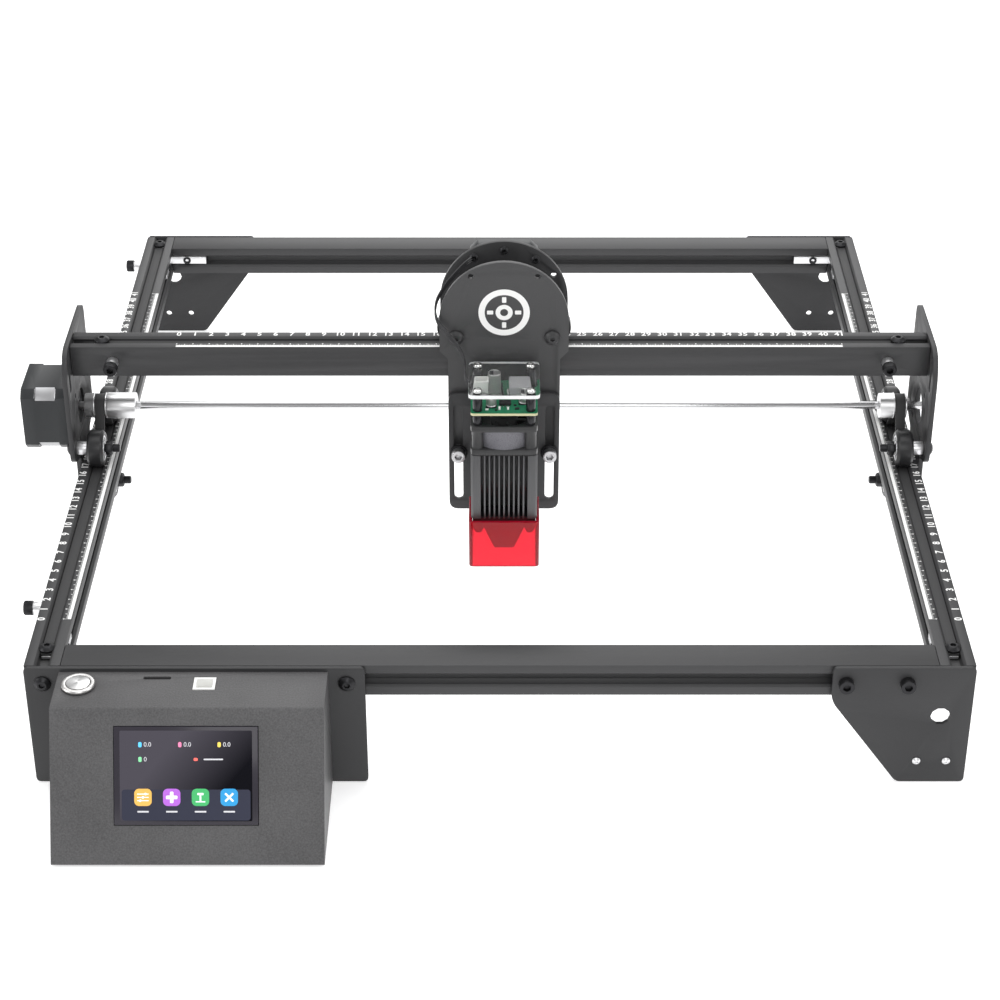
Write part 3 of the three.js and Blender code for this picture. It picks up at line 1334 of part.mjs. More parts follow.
// The nozzle block under the heat sink, with the lens bore up into it.
const shieldInner = SHIELD_WIDTH / 2 - SHIELD_WALL;
const nozzleHalf = shieldInner - GAP;
const nozzleTop = SINK_BOTTOM - GAP;
const nozzleShape = outline([
  [-nozzleHalf, nozzleTop],
  [-nozzleHalf, NOZZLE_SHOULDER, 1],
  [-nozzleHalf + 2, NOZZLE_SHOULDER - NOZZLE_STEP, 1],
  [-NOZZLE_NECK_HALF - 1.5, NOZZLE_SHOULDER - NOZZLE_STEP, 1],
  [-NOZZLE_NECK_HALF, NOZZLE_SHOULDER],
  [-NOZZLE_TIP_HALF, NOZZLE_BOTTOM, 0.6],
  [NOZZLE_TIP_HALF, NOZZLE_BOTTOM, 0.6],
  [NOZZLE_NECK_HALF, NOZZLE_SHOULDER],
  [NOZZLE_NECK_HALF + 1.5, NOZZLE_SHOULDER - NOZZLE_STEP, 1],
  [nozzleHalf - 2, NOZZLE_SHOULDER - NOZZLE_STEP, 1],
  [nozzleHalf, NOZZLE_SHOULDER, 1],
  [nozzleHalf, nozzleTop],
]);
const shieldFront = sinkFront - SHIELD_STAND;
const nozzleFront = shieldFront + NOZZLE_BACK;
part(
  head,
  "laser_nozzle",
  cut(
    slab(nozzleShape, "xz", nozzleFront, nozzleFront + NOZZLE_DEPTH, 3),
    rod("z", LENS_BORE / 2, NOZZLE_BOTTOM - 1, NOZZLE_BOTTOM + LENS_DEPTH, fanCentre, 20),
  ),
  blackSteel,
);

// The shield: one sheet bent round the front and both sides of the nozzle.
const shieldHalf = SHIELD_WIDTH / 2;
const shieldOutline = outline([
  [-shieldHalf, shieldFront, SHIELD_BEND],
  [shieldHalf, shieldFront, SHIELD_BEND],
  [shieldHalf, shieldFront + SHIELD_DEPTH],
  [shieldInner, shieldFront + SHIELD_DEPTH],
  [shieldInner, shieldFront + SHIELD_WALL, SHIELD_BEND - SHIELD_WALL],
  [-shieldInner, shieldFront + SHIELD_WALL, SHIELD_BEND - SHIELD_WALL],
  [-shieldInner, shieldFront + SHIELD_DEPTH],
  [-shieldHalf, shieldFront + SHIELD_DEPTH],
]);
part(head, "red_shield", slab(shieldOutline, "xy", SHIELD_BOTTOM, nozzleTop, 4), shieldRed);

// ---- The laser's lead ----

// From the rear plate round the left of the disc, down in front of it and to the driver board's
// plug. The points are given from the carriage's middle, the drive shaft and the frame's top.
const LEAD_ROUTE = [
  [-18.6, 1.4, 127.6],
  [-22.5, -2.6, 126.4],
  [-30, -8.5, 121],
  [-37.8, -16, 113.5],
  [-41.6, -23, 106.8],
  [-40.4, -29, 99.5],
  [-35, -32.4, 93.5],
  [-29.5, -33.8, 87],
  [-25.6, -34.4, 80],
  [-23.9, -36, 73.5],
  [-23.7, -39.4, 67.5],
  [-21.6, -42.2, 64],
  [-18.4, -42.9, 63.4],
];
const leadSection = new THREE.Shape();
leadSection.absarc(0, 0, LEAD_RADIUS, 0, 2 * Math.PI, false);
const leadCurve = new THREE.CatmullRomCurve3(LEAD_ROUTE.map((point) => new THREE.Vector3(...point)));
const lead = new THREE.ExtrudeGeometry(leadSection, {
  steps: 26,
  curveSegments: 4,
  bevelEnabled: false,
  extrudePath: leadCurve,
});
part(carriage, "laser_lead", lead, cableBlack);

// ---- The part's own frame: its origin is the middle of its footprint ----

const extent = new THREE.Box3().setFromObject(machine);
const middle = extent.getCenter(new THREE.Vector3());
machine.position.set(-middle.x, -middle.y, -extent.min.z);

const group = new THREE.Group();
group.add(machine);

export default group;
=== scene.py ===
import json
import math

import bpy
from mathutils import Matrix, Vector

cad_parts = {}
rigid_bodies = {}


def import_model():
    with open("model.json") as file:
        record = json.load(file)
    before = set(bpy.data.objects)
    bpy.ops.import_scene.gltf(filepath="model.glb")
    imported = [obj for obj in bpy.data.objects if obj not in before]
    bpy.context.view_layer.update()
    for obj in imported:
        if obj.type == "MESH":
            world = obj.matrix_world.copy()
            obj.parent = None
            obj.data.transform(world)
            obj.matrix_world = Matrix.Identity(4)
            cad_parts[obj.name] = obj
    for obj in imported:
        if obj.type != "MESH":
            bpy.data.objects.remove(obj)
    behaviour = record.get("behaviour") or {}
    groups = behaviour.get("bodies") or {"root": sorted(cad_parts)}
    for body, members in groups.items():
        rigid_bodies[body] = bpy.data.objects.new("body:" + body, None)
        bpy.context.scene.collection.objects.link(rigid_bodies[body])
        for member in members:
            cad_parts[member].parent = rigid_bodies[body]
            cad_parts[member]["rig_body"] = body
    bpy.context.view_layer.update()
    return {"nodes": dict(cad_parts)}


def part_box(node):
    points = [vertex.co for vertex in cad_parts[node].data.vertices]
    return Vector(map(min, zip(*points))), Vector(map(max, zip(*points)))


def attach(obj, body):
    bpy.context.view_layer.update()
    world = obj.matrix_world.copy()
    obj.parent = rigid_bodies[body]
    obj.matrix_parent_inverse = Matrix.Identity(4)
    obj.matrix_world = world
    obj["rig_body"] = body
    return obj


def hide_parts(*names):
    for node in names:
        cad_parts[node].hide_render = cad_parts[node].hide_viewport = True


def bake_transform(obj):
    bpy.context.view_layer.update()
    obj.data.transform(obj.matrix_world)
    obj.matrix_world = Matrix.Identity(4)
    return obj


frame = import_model()
bpy.ops.object.select_all(action="DESELECT")

# ---- Camera and studio ----
# A long lens looks down at the machine from the front. The floor is pale and the light is soft: a
# broad panel overhead, one at each side, one in front and one behind.
bpy.ops.object.camera_add(location=(0.0138, -1.3206, 0.8485), rotation=(math.radians(58.49), 0, 0))
camera = bpy.context.object
camera.data.lens = 86.6
bpy.context.scene.camera = camera

bpy.ops.mesh.primitive_plane_add(size=60, location=(0, 0, -0.0002))
floor = bpy.context.object
floor.name = "floor"
paper = bpy.data.materials.new("floor paper")
paper.use_nodes = True
for socket, value in (
    ("Base Color", (0.93, 0.93, 0.935, 1)),
    ("Roughness", 0.75),
    ("Emission Color", (1, 1, 1, 1)),
    ("Emission Strength", 0.42),
):
    paper.node_tree.nodes["Principled BSDF"].inputs[socket].default_value = value
floor.data.materials.append(paper)

bpy.context.scene.view_settings.view_transform = "Standard"
sky = bpy.data.worlds.new("studio")
bpy.context.scene.world = sky
sky.use_nodes = True
sky.node_tree.nodes["Background"].inputs["Color"].default_value = (1, 1, 1, 1)
sky.node_tree.nodes["Background"].inputs["Strength"].default_value = 0.48
for panel, place, size, watts in (
    ("overhead panel", (0.0, 0.35, 1.9), 2.0, 27),
    ("left panel", (-1.8, -0.6, 1.0), 1.1, 14),
    ("right panel", (1.8, -0.4, 1.1), 1.1, 10),
    ("front panel", (0.2, -2.1, 1.5), 1.2, 12),
    ("rear panel", (0.1, 1.9, 1.0), 1.6, 12),
):
    aim = (Vector((0, 0, 0.05)) - Vector(place)).to_track_quat("-Z", "Y").to_euler()
    bpy.ops.object.light_add(type="AREA", location=place, rotation=aim)
    light = bpy.context.object
    light.name = panel
    light.data.size = size
    light.data.energy = watts

# ---- Slotted rails, crossbars and beam ----
# Five lengths of 20 mm aluminium extrusion, anodised satin black. The drawn surface keeps faint
# lines along its length, and its edges are broken.


def started(name):
    """A new finish, with its nodes and its links."""
    finish = bpy.data.materials.new(name)
    finish.use_nodes = True
    return finish, finish.node_tree.nodes, finish.node_tree.links


def added(nodes, kind, *values):
    """One more node of a finish, with (socket, value) pairs set on it."""
    node = nodes.new("ShaderNode" + kind)
    for socket, value in values:
        node.inputs[socket].default_value = value
    return node


def varied(nodes, links, colour, spread, amount):
    """Lets a colour vary by that spread with an amount from 0 to 1."""
    tint = nodes.new("ShaderNodeMix")
    tint.data_type = "RGBA"
    tint.inputs["A"].default_value = (*[c * (1 - spread) for c in colour], 1)
    tint.inputs["B"].default_value = (*[min(1, c * (1 + spread)) for c in colour], 1)
    links.new(amount, tint.inputs["Factor"])
    links.new(tint.outputs["Result"], nodes["Principled BSDF"].inputs["Base Color"])
    return tint.outputs["Result"]


BROAD_CLOUDS = 28
FINE_SHARE = 0.7
GLOSS_SPREAD = 0.06


def surface(
    name, colour, roughness, metallic=0.0, grain=0.0005, depth=0.00001, spread=0.14, stretch=(1, 1, 1)
):
    """A finish whose colour and gloss vary a little over a grain of that size, with an uneven skin."""
    finish, nodes, links = started(name)
    shader = nodes["Principled BSDF"]
    shader.inputs["Metallic"].default_value = metallic
    shader.inputs["Specular IOR Level"].default_value = 0.32
    where = added(nodes, "TexCoord")
    mapping = added(nodes, "Mapping", ("Scale", stretch))
    links.new(where.outputs["Object"], mapping.inputs["Vector"])
    fine = added(nodes, "TexNoise", ("Scale", 1 / grain), ("Detail", 3))
    links.new(mapping.outputs["Vector"], fine.inputs["Vector"])
    broad = added(nodes, "TexNoise", ("Scale", BROAD_CLOUDS))
    links.new(where.outputs["Object"], broad.inputs["Vector"])
    both = added(nodes, "Math", (1, FINE_SHARE))
    both.operation = "MULTIPLY_ADD"
    links.new(fine.outputs["Fac"], both.inputs[0])
    quiet = added(nodes, "Math", (1, 1 - FINE_SHARE))
    quiet.operation = "MULTIPLY"
    links.new(broad.outputs["Fac"], quiet.inputs[0])
    links.new(quiet.outputs[0], both.inputs[2])
    varied(nodes, links, colour, spread, both.outputs[0])
    least, most = max(0.02, roughness - GLOSS_SPREAD), min(1, roughness + GLOSS_SPREAD)
    gloss = added(nodes, "MapRange", ("To Min", least), ("To Max", most))
    links.new(both.outputs[0], gloss.inputs["Value"])
    links.new(gloss.outputs["Result"], shader.inputs["Roughness"])
    skin = added(nodes, "Bump", ("Distance", depth))
    links.new(fine.outputs["Fac"], skin.inputs["Height"])
    links.new(skin.outputs["Normal"], shader.inputs["Normal"])
    return finish


def shape_on():
    """Starts shaping the active piece in edit mode."""
    bpy.ops.object.mode_set(mode="EDIT")


def shape_off():
    """Leaves edit mode."""
    bpy.ops.object.mode_set(mode="OBJECT")


def take_all():
    """Selects all of the mesh that is being shaped."""
    bpy.ops.mesh.select_all(action="SELECT")


def pulled(step):
    """Extrudes the selected faces or edges by a step."""
    bpy.ops.mesh.extrude_region_move(TRANSFORM_OT_translate={"value": step})


def only(piece):
    """Makes a piece the one that the next operators work on."""
    if bpy.context.mode != "OBJECT":
        shape_off()
    bpy.ops.object.select_all(action="DESELECT")
    piece.select_set(True)
    bpy.context.view_layer.objects.active = piece


def pick(piece, wanted):
    """In edit mode, selects the faces for which wanted(middle, normal) is true."""
    only(piece)
    shape_on()
    bpy.ops.mesh.select_mode(type="FACE")
    bpy.ops.mesh.select_all(action="DESELECT")
    shape_off()
    for face in piece.data.polygons:
        face.select = wanted(face.center, face.normal)
    shape_on()


def broken(piece, edge, segments=2, angle=35):
    """Breaks a piece's sharp edges and shades what is round as round."""
    only(piece)
    if edge > 0:
        bevel = piece.modifiers.new("broken edges", "BEVEL")
        bevel.width = edge
        bevel.segments = segments
        bevel.limit_method = "ANGLE"
        bevel.angle_limit = math.radians(angle)
        bpy.ops.object.modifier_apply(modifier=bevel.name)
    bpy.ops.object.shade_smooth_by_angle(angle=math.radians(angle))
    return piece


def copied(name, mesh):
    """A new piece with its own copy of a mesh."""
    piece = bpy.data.objects.new(name, mesh.copy())
    bpy.context.collection.objects.link(piece)
    return piece


def settled(piece, name, finish, body):
    """Names a finished piece, gives it its finish and lets it ride on a body."""
    only(piece)
    bpy.ops.object.transform_apply(location=True, rotation=True, scale=True)
    piece.name = name
    piece.data.name = name
    if finish:
        piece.data.materials.clear()
        piece.data.materials.append(finish)
    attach(piece, body)
    return piece


def machined(node, finish, edge=0.00025, without=None, plain=True):
    """The CAD part's own shape with its edges broken. Faces whose middle passes the test without
    are taken off, and the holes that they leave are closed. Flat areas are made one face if plain."""
    source = frame["nodes"][node]
    piece = copied(node + ".made", source.data)
    only(piece)
    bpy.ops.mesh.customdata_custom_splitnormals_clear()
    shape_on()
    take_all()
    bpy.ops.mesh.remove_doubles(threshold=5e-6)
    if without:
        pick(piece, lambda middle, normal: without(middle))
        bpy.ops.mesh.delete(type="FACE")
        bpy.ops.mesh.select_mode(type="EDGE")
        bpy.ops.mesh.select_non_manifold()
        bpy.ops.mesh.fill_holes(sides=0)
    if plain:
        take_all()
        bpy.ops.mesh.dissolve_limited(angle_limit=math.radians(0.6))
    shape_off()
    broken(piece, edge)
    settled(piece, node + ".made", finish, source["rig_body"])
    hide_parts(node)
    return piece


for name, drawn, lengths in (
    ("satin black anodising", (1, 0.03, 1), ("left_rail", "right_rail")),
    ("satin black anodising, drawn across", (0.03, 1, 1), ("front_crossbar", "rear_crossbar", "x_beam")),
):
    anodised = surface(name, (0.05, 0.05, 0.0515), 0.42, 0.25, 0.0007, 0.000004, stretch=drawn)
    for node in lengths:
        machined(node, anodised, 0.00018)

rail_low, rail_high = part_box("left_rail")
right_low, right_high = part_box("right_rail")
beam_low, beam_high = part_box("x_beam")
rail_top = rail_high.z
rail_size = rail_high.x - rail_low.x
rail_middle_z = rail_top - rail_size / 2

# ---- Rulers ----
# White centimetre scales are printed along the rails and the beam: a band with millimetre teeth
# on one strip beside the slot and the numbers on the other.
ink = surface("white ink", (0.86, 0.86, 0.85), 0.5, 0, 0.0002, 0.000001, 0.04)
INK_HEIGHT = 0.00006
RULER_LENGTH = 0.41
BAND_WIDTH = 0.0019
RULER_MARGIN = 0.0006
DIGIT_HEIGHT = 0.0042


def bar(size, place=(0, 0, 0)):
    """A flat block of that size with its middle at that place, still to be shaped."""
    bpy.ops.object.select_all(action="DESELECT")
    bpy.ops.mesh.primitive_cube_add(size=1, location=place, scale=size)
    block = bpy.context.object
    bpy.ops.object.transform_apply(location=False, rotation=False, scale=True)
    return block


def joined(pieces):
    """Several objects as one."""
    only(pieces[0])
    for piece in pieces:
        piece.select_set(True)
    bpy.ops.object.join()
    return bpy.context.object


def ruler(name, body, zero, along, teeth, numbers):
    """A printed scale from a zero point. along is its direction, teeth the way its teeth point and
    numbers the middle of the row of numbers, seen from the zero point."""
    marks = []
    for pitch, length, width in ((0.001, 0.001, 0.0003), (0.005, 0.002, 0.0004), (0.01, 0.0028, 0.0006)):
        tooth = bar((width, length, INK_HEIGHT), (0, BAND_WIDTH + length / 2 - 0.0001, INK_HEIGHT / 2))
        row = tooth.modifiers.new("teeth", "ARRAY")
        row.use_relative_offset = False
        row.use_constant_offset = True
        row.constant_offset_displace = (pitch, 0, 0)
        row.count = round(RULER_LENGTH / pitch) + 1
        bpy.ops.object.modifier_apply(modifier=row.name)
        marks.append(tooth)
    band_middle = (RULER_LENGTH / 2, BAND_WIDTH / 2, INK_HEIGHT / 2)
    marks.append(bar((RULER_LENGTH + 0.0004, BAND_WIDTH, INK_HEIGHT), band_middle))
    turn = Matrix((along, teeth, Vector((0, 0, 1)))).transposed().to_4x4()
    scale = joined(marks)
    scale.data.transform(Matrix.Translation(zero) @ turn @ Matrix.Translation(scale.location))
    scale.location = (0, 0, 0)
    if turn.determinant() < 0:
        only(scale)
        shape_on()
        take_all()
        bpy.ops.mesh.normals_make_consistent(inside=False)
        shape_off()
    settled(scale, name + "_band", ink, body)
    digits = []
    spin = math.atan2(along.y, along.x)
    for centimetre in range(42):
        bpy.ops.object.text_add(location=zero + numbers + along * centimetre * 0.01, rotation=(0, 0, spin))
        digit = bpy.context.object
        digit.data.body = str(centimetre)
        digit.data.size = DIGIT_HEIGHT / 0.7
        digit.data.align_x = "CENTER"
        digit.data.align_y = "CENTER"
        digit.data.resolution_u = 3
        digit.data.extrude = INK_HEIGHT / 2
        digit.data.offset = 0.00012
        digit.data.space_character = 1.05
        bpy.ops.object.convert(target="MESH")
        digits.append(digit)
    settled(joined(digits), name + "_numbers", ink, body)


SLOT_MOUTH = 0.0094
ZERO_FROM_END = 0.0454
ZERO_FROM_MIDDLE = 0.1993
zero_y = rail_low.y + ZERO_FROM_END
zero_x = (beam_low.x + beam_high.x) / 2 - ZERO_FROM_MIDDLE
across = rail_size - (rail_size - SLOT_MOUTH) / 4 - RULER_MARGIN
for name, body, zero, along, teeth in (
    ("left_ruler", "root", (rail_high.x - RULER_MARGIN, zero_y, rail_top), (0, 1, 0), (-1, 0, 0)),
    ("right_ruler", "root", (right_low.x + RULER_MARGIN, zero_y, rail_top), (0, 1, 0), (1, 0, 0)),
    ("beam_ruler", "gantry", (zero_x, beam_low.y + RULER_MARGIN, beam_high.z), (1, 0, 0), (0, 1, 0)),
):
    numbers = Vector(teeth) * across + Vector((0, 0, INK_HEIGHT / 2))
    ruler(name, body, Vector(zero), Vector(along), Vector(teeth), numbers)

# ---- Screws ----
# Button-head and cap screws with hexagon sockets. One of each kind is made and copied to its
# places, with its seat on a face and its head pointing away from it.
black_steel = surface("black oxide steel", (0.028, 0.028, 0.03), 0.34, 0.75, 0.0004, 0.000004)
bright_steel = surface("bright steel", (0.78, 0.78, 0.79), 0.34, 0.92, 0.0003, 0.000003, 0.06)
M5_HEAD = 0.0095


def hollowed(piece, cutter):
    """Cuts one shape out of another."""
    only(piece)
    cut = piece.modifiers.new("cut", "BOOLEAN")
    cut.object = cutter
    cut.solver = "EXACT"
    bpy.ops.object.modifier_apply(modifier=cut.name)
    bpy.data.objects.remove(cutter)
    return piece


def socket_screw(name, diameter, height, crown, key, finish):
    """A screw head that stands on Z = 0. crown is the diameter of its flat top and key its socket."""
    middle = (0, 0, height / 2)
    bpy.ops.mesh.primitive_cylinder_add(vertices=36, radius=diameter / 2, depth=height, location=middle)
    head = bpy.context.object
    bpy.ops.object.transform_apply(location=True)
    if crown < diameter * 0.95:
        pick(head, lambda middle, normal: normal.z > 0.9)
        pulled((0, 0, 0))
        bpy.ops.transform.resize(value=(crown / diameter, crown / diameter, 1))
        shape_off()
        for vertex in head.data.vertices:
            out = math.hypot(vertex.co.x, vertex.co.y)
            if vertex.co.z > height / 2 and out > crown * 0.51:
                vertex.co.z = height * 0.42
    bottom = (0, 0, height * 1.02)
    bpy.ops.mesh.primitive_cylinder_add(vertices=6, radius=key / math.sqrt(3), depth=height, location=bottom)
    hollowed(head, bpy.context.object)
    broken(head, 0.00025, 3, 24)
    head.name = name
    head.data.materials.append(finish)
    head.hide_render = True
    head.hide_viewport = True
    return head


button_head = socket_screw("button head pattern", M5_HEAD, 0.0028, 0.0052, 0.003, black_steel)
bright_button = socket_screw("bright button head pattern", M5_HEAD, 0.0028, 0.0052, 0.003, bright_steel)
cap_head = socket_screw("cap head pattern", 0.0085, 0.005, 0.0085, 0.004, black_steel)
small_cap = socket_screw("small cap head pattern", 0.0055, 0.003, 0.0055, 0.0025, bright_steel)
small_button = socket_screw("small button head pattern", 0.0055, 0.0016, 0.0032, 0.002, black_steel)


def placed(piece, at, towards=(0, 0, 1), roll=0.0):
    """Puts a mesh that was made about Z at a point, with its Z towards a direction."""
    turn = Vector((0, 0, 1)).rotation_difference(Vector(towards)).to_matrix().to_4x4()
    piece.data.transform(Matrix.Translation(Vector(at)) @ turn @ Matrix.Rotation(roll, 4, "Z"))
    return piece


def fixed(pattern, name, seat, towards, body, roll=0.3, finish=None):
    """A copy of a pattern with its seat at a point and its head towards a direction."""
    screw = placed(copied(name, pattern.data), seat, towards, roll)
    if finish:
        screw.data.materials.clear()
        screw.data.materials.append(finish)
    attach(screw, body)
    return screw


def smaller(piece, about, share):
    """Shrinks a piece towards a point."""
    about = Vector(about)
    piece.data.transform(Matrix.Translation(about) @ Matrix.Scale(share, 4) @ Matrix.Translation(-about))


# ---- Leg plates ----
# Folded from 2.5 mm steel and powder coated with a fine grain. Two screws hold each plate to the
# end of the frame; the narrow plates are drilled for a cable and for feet.
powder = surface("black powder coat", (0.034, 0.034, 0.0355), 0.5, 0.0, 0.00035, 0.00003, 0.16)
PLATE = 0.0025
WIDE_INSET = 0.010
SCREW_INSETS = (0.0375, 0.0715)
FOOT_SCREW_INSETS = (0.028, 0.0113)
FOOT_SCREW_RISE = 0.0148
frame_left, frame_right = rail_low.x, right_high.x
front_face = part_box("front_right_leg_plate")[1].y - PLATE
rear_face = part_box("rear_right_leg_plate")[0].y + PLATE
wide_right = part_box("front_left_leg_plate")[1].x
for node in [end + side + "_leg_plate" for end in ("front_", "rear_") for side in ("left", "right")]:
    outward = -1 if "front" in node else 1
    face = front_face if outward < 0 else rear_face
    machined(node, powder, 0.0003, lambda middle: (middle.y - face) * outward > 0.00002)
    if node == "front_left_leg_plate":
        places = (frame_left + WIDE_INSET, wide_right - WIDE_INSET)
    elif "left" in node:
        places = (frame_left + SCREW_INSETS[0], frame_left + SCREW_INSETS[1])
    else:
        places = (frame_right - SCREW_INSETS[1], frame_right - SCREW_INSETS[0])
    pattern = cap_head if node == "front_right_leg_plate" else button_head
    for number, x in enumerate(places):
        seat = (x, face, rail_middle_z)
        fixed(pattern, f"{node}_screw_{number + 1}", seat, (0, outward, 0), "root", 0.4 * number)

for number, inset in enumerate(FOOT_SCREW_INSETS):
    seat = (frame_right - inset, front_face - 0.0004 + PLATE * 0.2, FOOT_SCREW_RISE)
    screw = fixed(bright_button, f"front_right_foot_screw_{number + 1}", seat, (0, -1, 0), "root", number)
    smaller(screw, seat, 0.5)

# ---- Corner brackets and slot screws ----
# An L of bright steel joins each crossbar to each rail inside their slots, held by grub screws.
BRACKET_ARM = 0.026
BRACKET_HEIGHT = 0.0058
BRACKET_THICK = 0.003
SLOT_RECESS = 0.0012
GRUB_REACH = 0.015
GRUB_SUNK = 0.0019
for end, outward in (("front", -1), ("rear", 1)):
    inner_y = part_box(end + "_crossbar")[1 if end == "front" else 0].y
    for side, sign in (("left", -1), ("right", 1)):
        inner_x = rail_high.x if side == "left" else right_low.x
        corner_x = inner_x + sign * (SLOT_RECESS + BRACKET_THICK)
        corner_y = inner_y + outward * (SLOT_RECESS + BRACKET_THICK)
        bracket = bar(
            (BRACKET_THICK, BRACKET_THICK, BRACKET_HEIGHT),
            (corner_x - sign * BRACKET_THICK / 2, corner_y - outward * BRACKET_THICK / 2, rail_middle_z),
        )
        bpy.ops.object.transform_apply(location=True)
        pick(bracket, lambda middle, normal: normal.x * sign < -0.9)
        pulled((-sign * BRACKET_ARM, 0, 0))
        pick(
            bracket,
            lambda middle, normal: normal.y * outward < -0.9 and abs(middle.x - corner_x) < BRACKET_THICK,
        )
        pulled((0, -outward * BRACKET_ARM, 0))
        shape_off()
        broken(bracket, 0.0003)
        settled(bracket, f"{end}_{side}_corner_bracket", bright_steel, "root")
        for reach, towards, name in (
            (Vector((-sign * GRUB_REACH, -outward * BRACKET_THICK, 0)), (0, -outward, 0), "crossbar"),
            (Vector((-sign * BRACKET_THICK, -outward * GRUB_REACH, 0)), (-sign, 0, 0), "rail"),
        ):
            seat = Vector((corner_x, corner_y, rail_middle_z)) + reach - Vector(towards) * GRUB_SUNK
            name = f"{end}_{side}_{name}_grub_screw"
            fixed(small_cap, name, seat, towards, "root", finish=black_steel)

# ---- Drive belts and their clamps ----
# Fibre-cored rubber belts 6 mm wide. Each lies in the slot on top of its rail, is looped over a
# pulley and is held at both ends by a button-head screw in a sliding nut. The screws at the rear
# stand past the reach of the wheels.
rubber = surface("belt rubber", (0.04, 0.04, 0.041), 0.6, 0, 0.0006, 0.00002, 0.2, stretch=(1, 1, 1))
for node in ("left_belt", "right_belt", "x_belt", "left_belt_loop", "right_belt_loop"):
    machined(node, rubber, 0.0001)
PAST_WHEEL = 0.0042
CLAMP_INSET = 0.0045
for belt, body in (("left_belt", "root"), ("right_belt", "root"), ("x_belt", "gantry")):
    low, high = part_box(belt)
    lengthwise = Vector((0, 1, 0)) if body == "root" else Vector((1, 0, 0))
    middle = (low + high) / 2
    for end, sign in (("first", -1), ("last", 1)):
        reach = lengthwise.dot(high - low) / 2
        reach += PAST_WHEEL if body == "root" and end == "last" else -CLAMP_INSET
        seat = middle + lengthwise * sign * reach
        seat.z = high.z + (0.0012 if body == "gantry" else 0.0002)
        fixed(button_head, f"{belt}_{end}_clamp_screw", seat, (0, 0, 1), body)
        nut = bar((0.0052, 0.0105, 0.0016), (seat.x, seat.y, high.z - 0.0022))
        if body == "gantry":
            nut.rotation_euler.z = math.pi / 2
        broken(nut, 0.0003)
        settled(nut, f"{belt}_{end}_sliding_nut", bright_steel, body)


def middle_and_radius(node):
    """The middle, as x and z, and the radius of a round CAD part whose axis runs from front to back."""
    low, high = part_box(node)
    return Vector(((low.x + high.x) / 2, (low.z + high.z) / 2)), (high.x - low.x) / 2


def arc(centre, radius, start, stop):
    """Points along an arc, from one angle to another."""
    angles = [start + (stop - start) * count / STEPS for count in range(STEPS + 1)]
    return [centre + Vector((math.cos(angle), math.sin(angle))) * radius for angle in angles]


# The gantry's belt leaves its slot, turns round the carriage's upper wheels and climbs over the
# motor's pulley between them.
strip_low, strip_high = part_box("x_belt")
thick = strip_high.z - strip_low.z
FIT = 0.0003
TEETH_RADIUS = 0.0059
LOOP_RISE = 0.0022
STEPS = 8
hub, _ = middle_and_radius("x_pulley")
roller, roller_radius = middle_and_radius("carriage_left_wheel")
round_roller = roller_radius + FIT + thick / 2
round_hub = TEETH_RADIUS + FIT + thick / 2
between = hub - roller
crossing = math.asin((round_roller + round_hub) / between.length)
turn_off = math.atan2(between.y, between.x) + crossing - math.pi / 2
lowest = -math.pi / 2 + math.acos(1 - LOOP_RISE / round_roller)
rising = arc(roller, round_roller, lowest, turn_off) + arc(hub, round_hub, turn_off + math.pi, math.pi / 2)
falling = [Vector((2 * hub.x - spot.x, spot.y)) for spot in reversed(rising[:-1])]
bpy.ops.object.select_all(action="DESELECT")
bpy.ops.mesh.primitive_plane_add(size=0.001, location=(0, 0, 0))
x_loop = bpy.context.object
shape_on()
bpy.ops.mesh.select_mode(type="VERT")
take_all()
bpy.ops.mesh.merge(type="CENTER")
bpy.ops.transform.translate(value=(rising[0].x, strip_low.y, rising[0].y))
line = rising + falling
for spot, following in zip(line, line[1:]):
    step = (following.x - spot.x, 0, following.y - spot.y)
    bpy.ops.mesh.extrude_vertices_move(TRANSFORM_OT_translate={"value": step})
take_all()
bpy.ops.mesh.extrude_edges_move(TRANSFORM_OT_translate={"value": (0, strip_high.y - strip_low.y, 0)})
shape_off()
thicken = x_loop.modifiers.new("thicken", "SOLIDIFY")
thicken.thickness = thick
thicken.offset = 0
bpy.ops.object.modifier_apply(modifier="thicken")
bpy.ops.object.shade_smooth_by_angle(angle=math.radians(35))
settled(x_loop, "x_belt_loop", rubber, "carriage")

# ---- Stop bolts ----
# Knurled black cap screws stand on bright spacers: two on the left rail stop the gantry, and two
# on the beam's front stop the carriage.
KNURLS = 72
KNURL_ROOT = 0.945
HALF_KEY = 0.002


def turned(stations, segments=48):
    """A turned shape about Z: a circle carried through (radius, height) stations. It is a closed
    ring where the last station is the first, and is filled at its ends where it isn't."""
    bpy.ops.object.select_all(action="DESELECT")
    radius, height = stations[0]
    bpy.ops.mesh.primitive_circle_add(vertices=segments, radius=radius, location=(0, 0, height))
    piece = bpy.context.object
    bpy.ops.object.transform_apply(location=True)
    shape_on()
    bpy.ops.mesh.select_mode(type="EDGE")
    take_all()
    for (radius, height), (next_radius, next_height) in zip(stations, stations[1:]):
        pulled((0, 0, next_height - height))
        grown = next_radius / radius
        bpy.ops.transform.resize(value=(grown, grown, 1))
    take_all()
    bpy.ops.mesh.remove_doubles(threshold=1e-6)
    bpy.ops.mesh.fill_holes(sides=0)
    take_all()
    bpy.ops.mesh.normals_make_consistent(inside=False)
    shape_off()
    return piece


def collar(inner, outer, bottom, top, segments=48):
    """A turned ring between two radii and two heights."""
    corners = [(inner, bottom), (outer, bottom), (outer, top), (inner, top), (inner, bottom)]
    return turned(corners, segments)


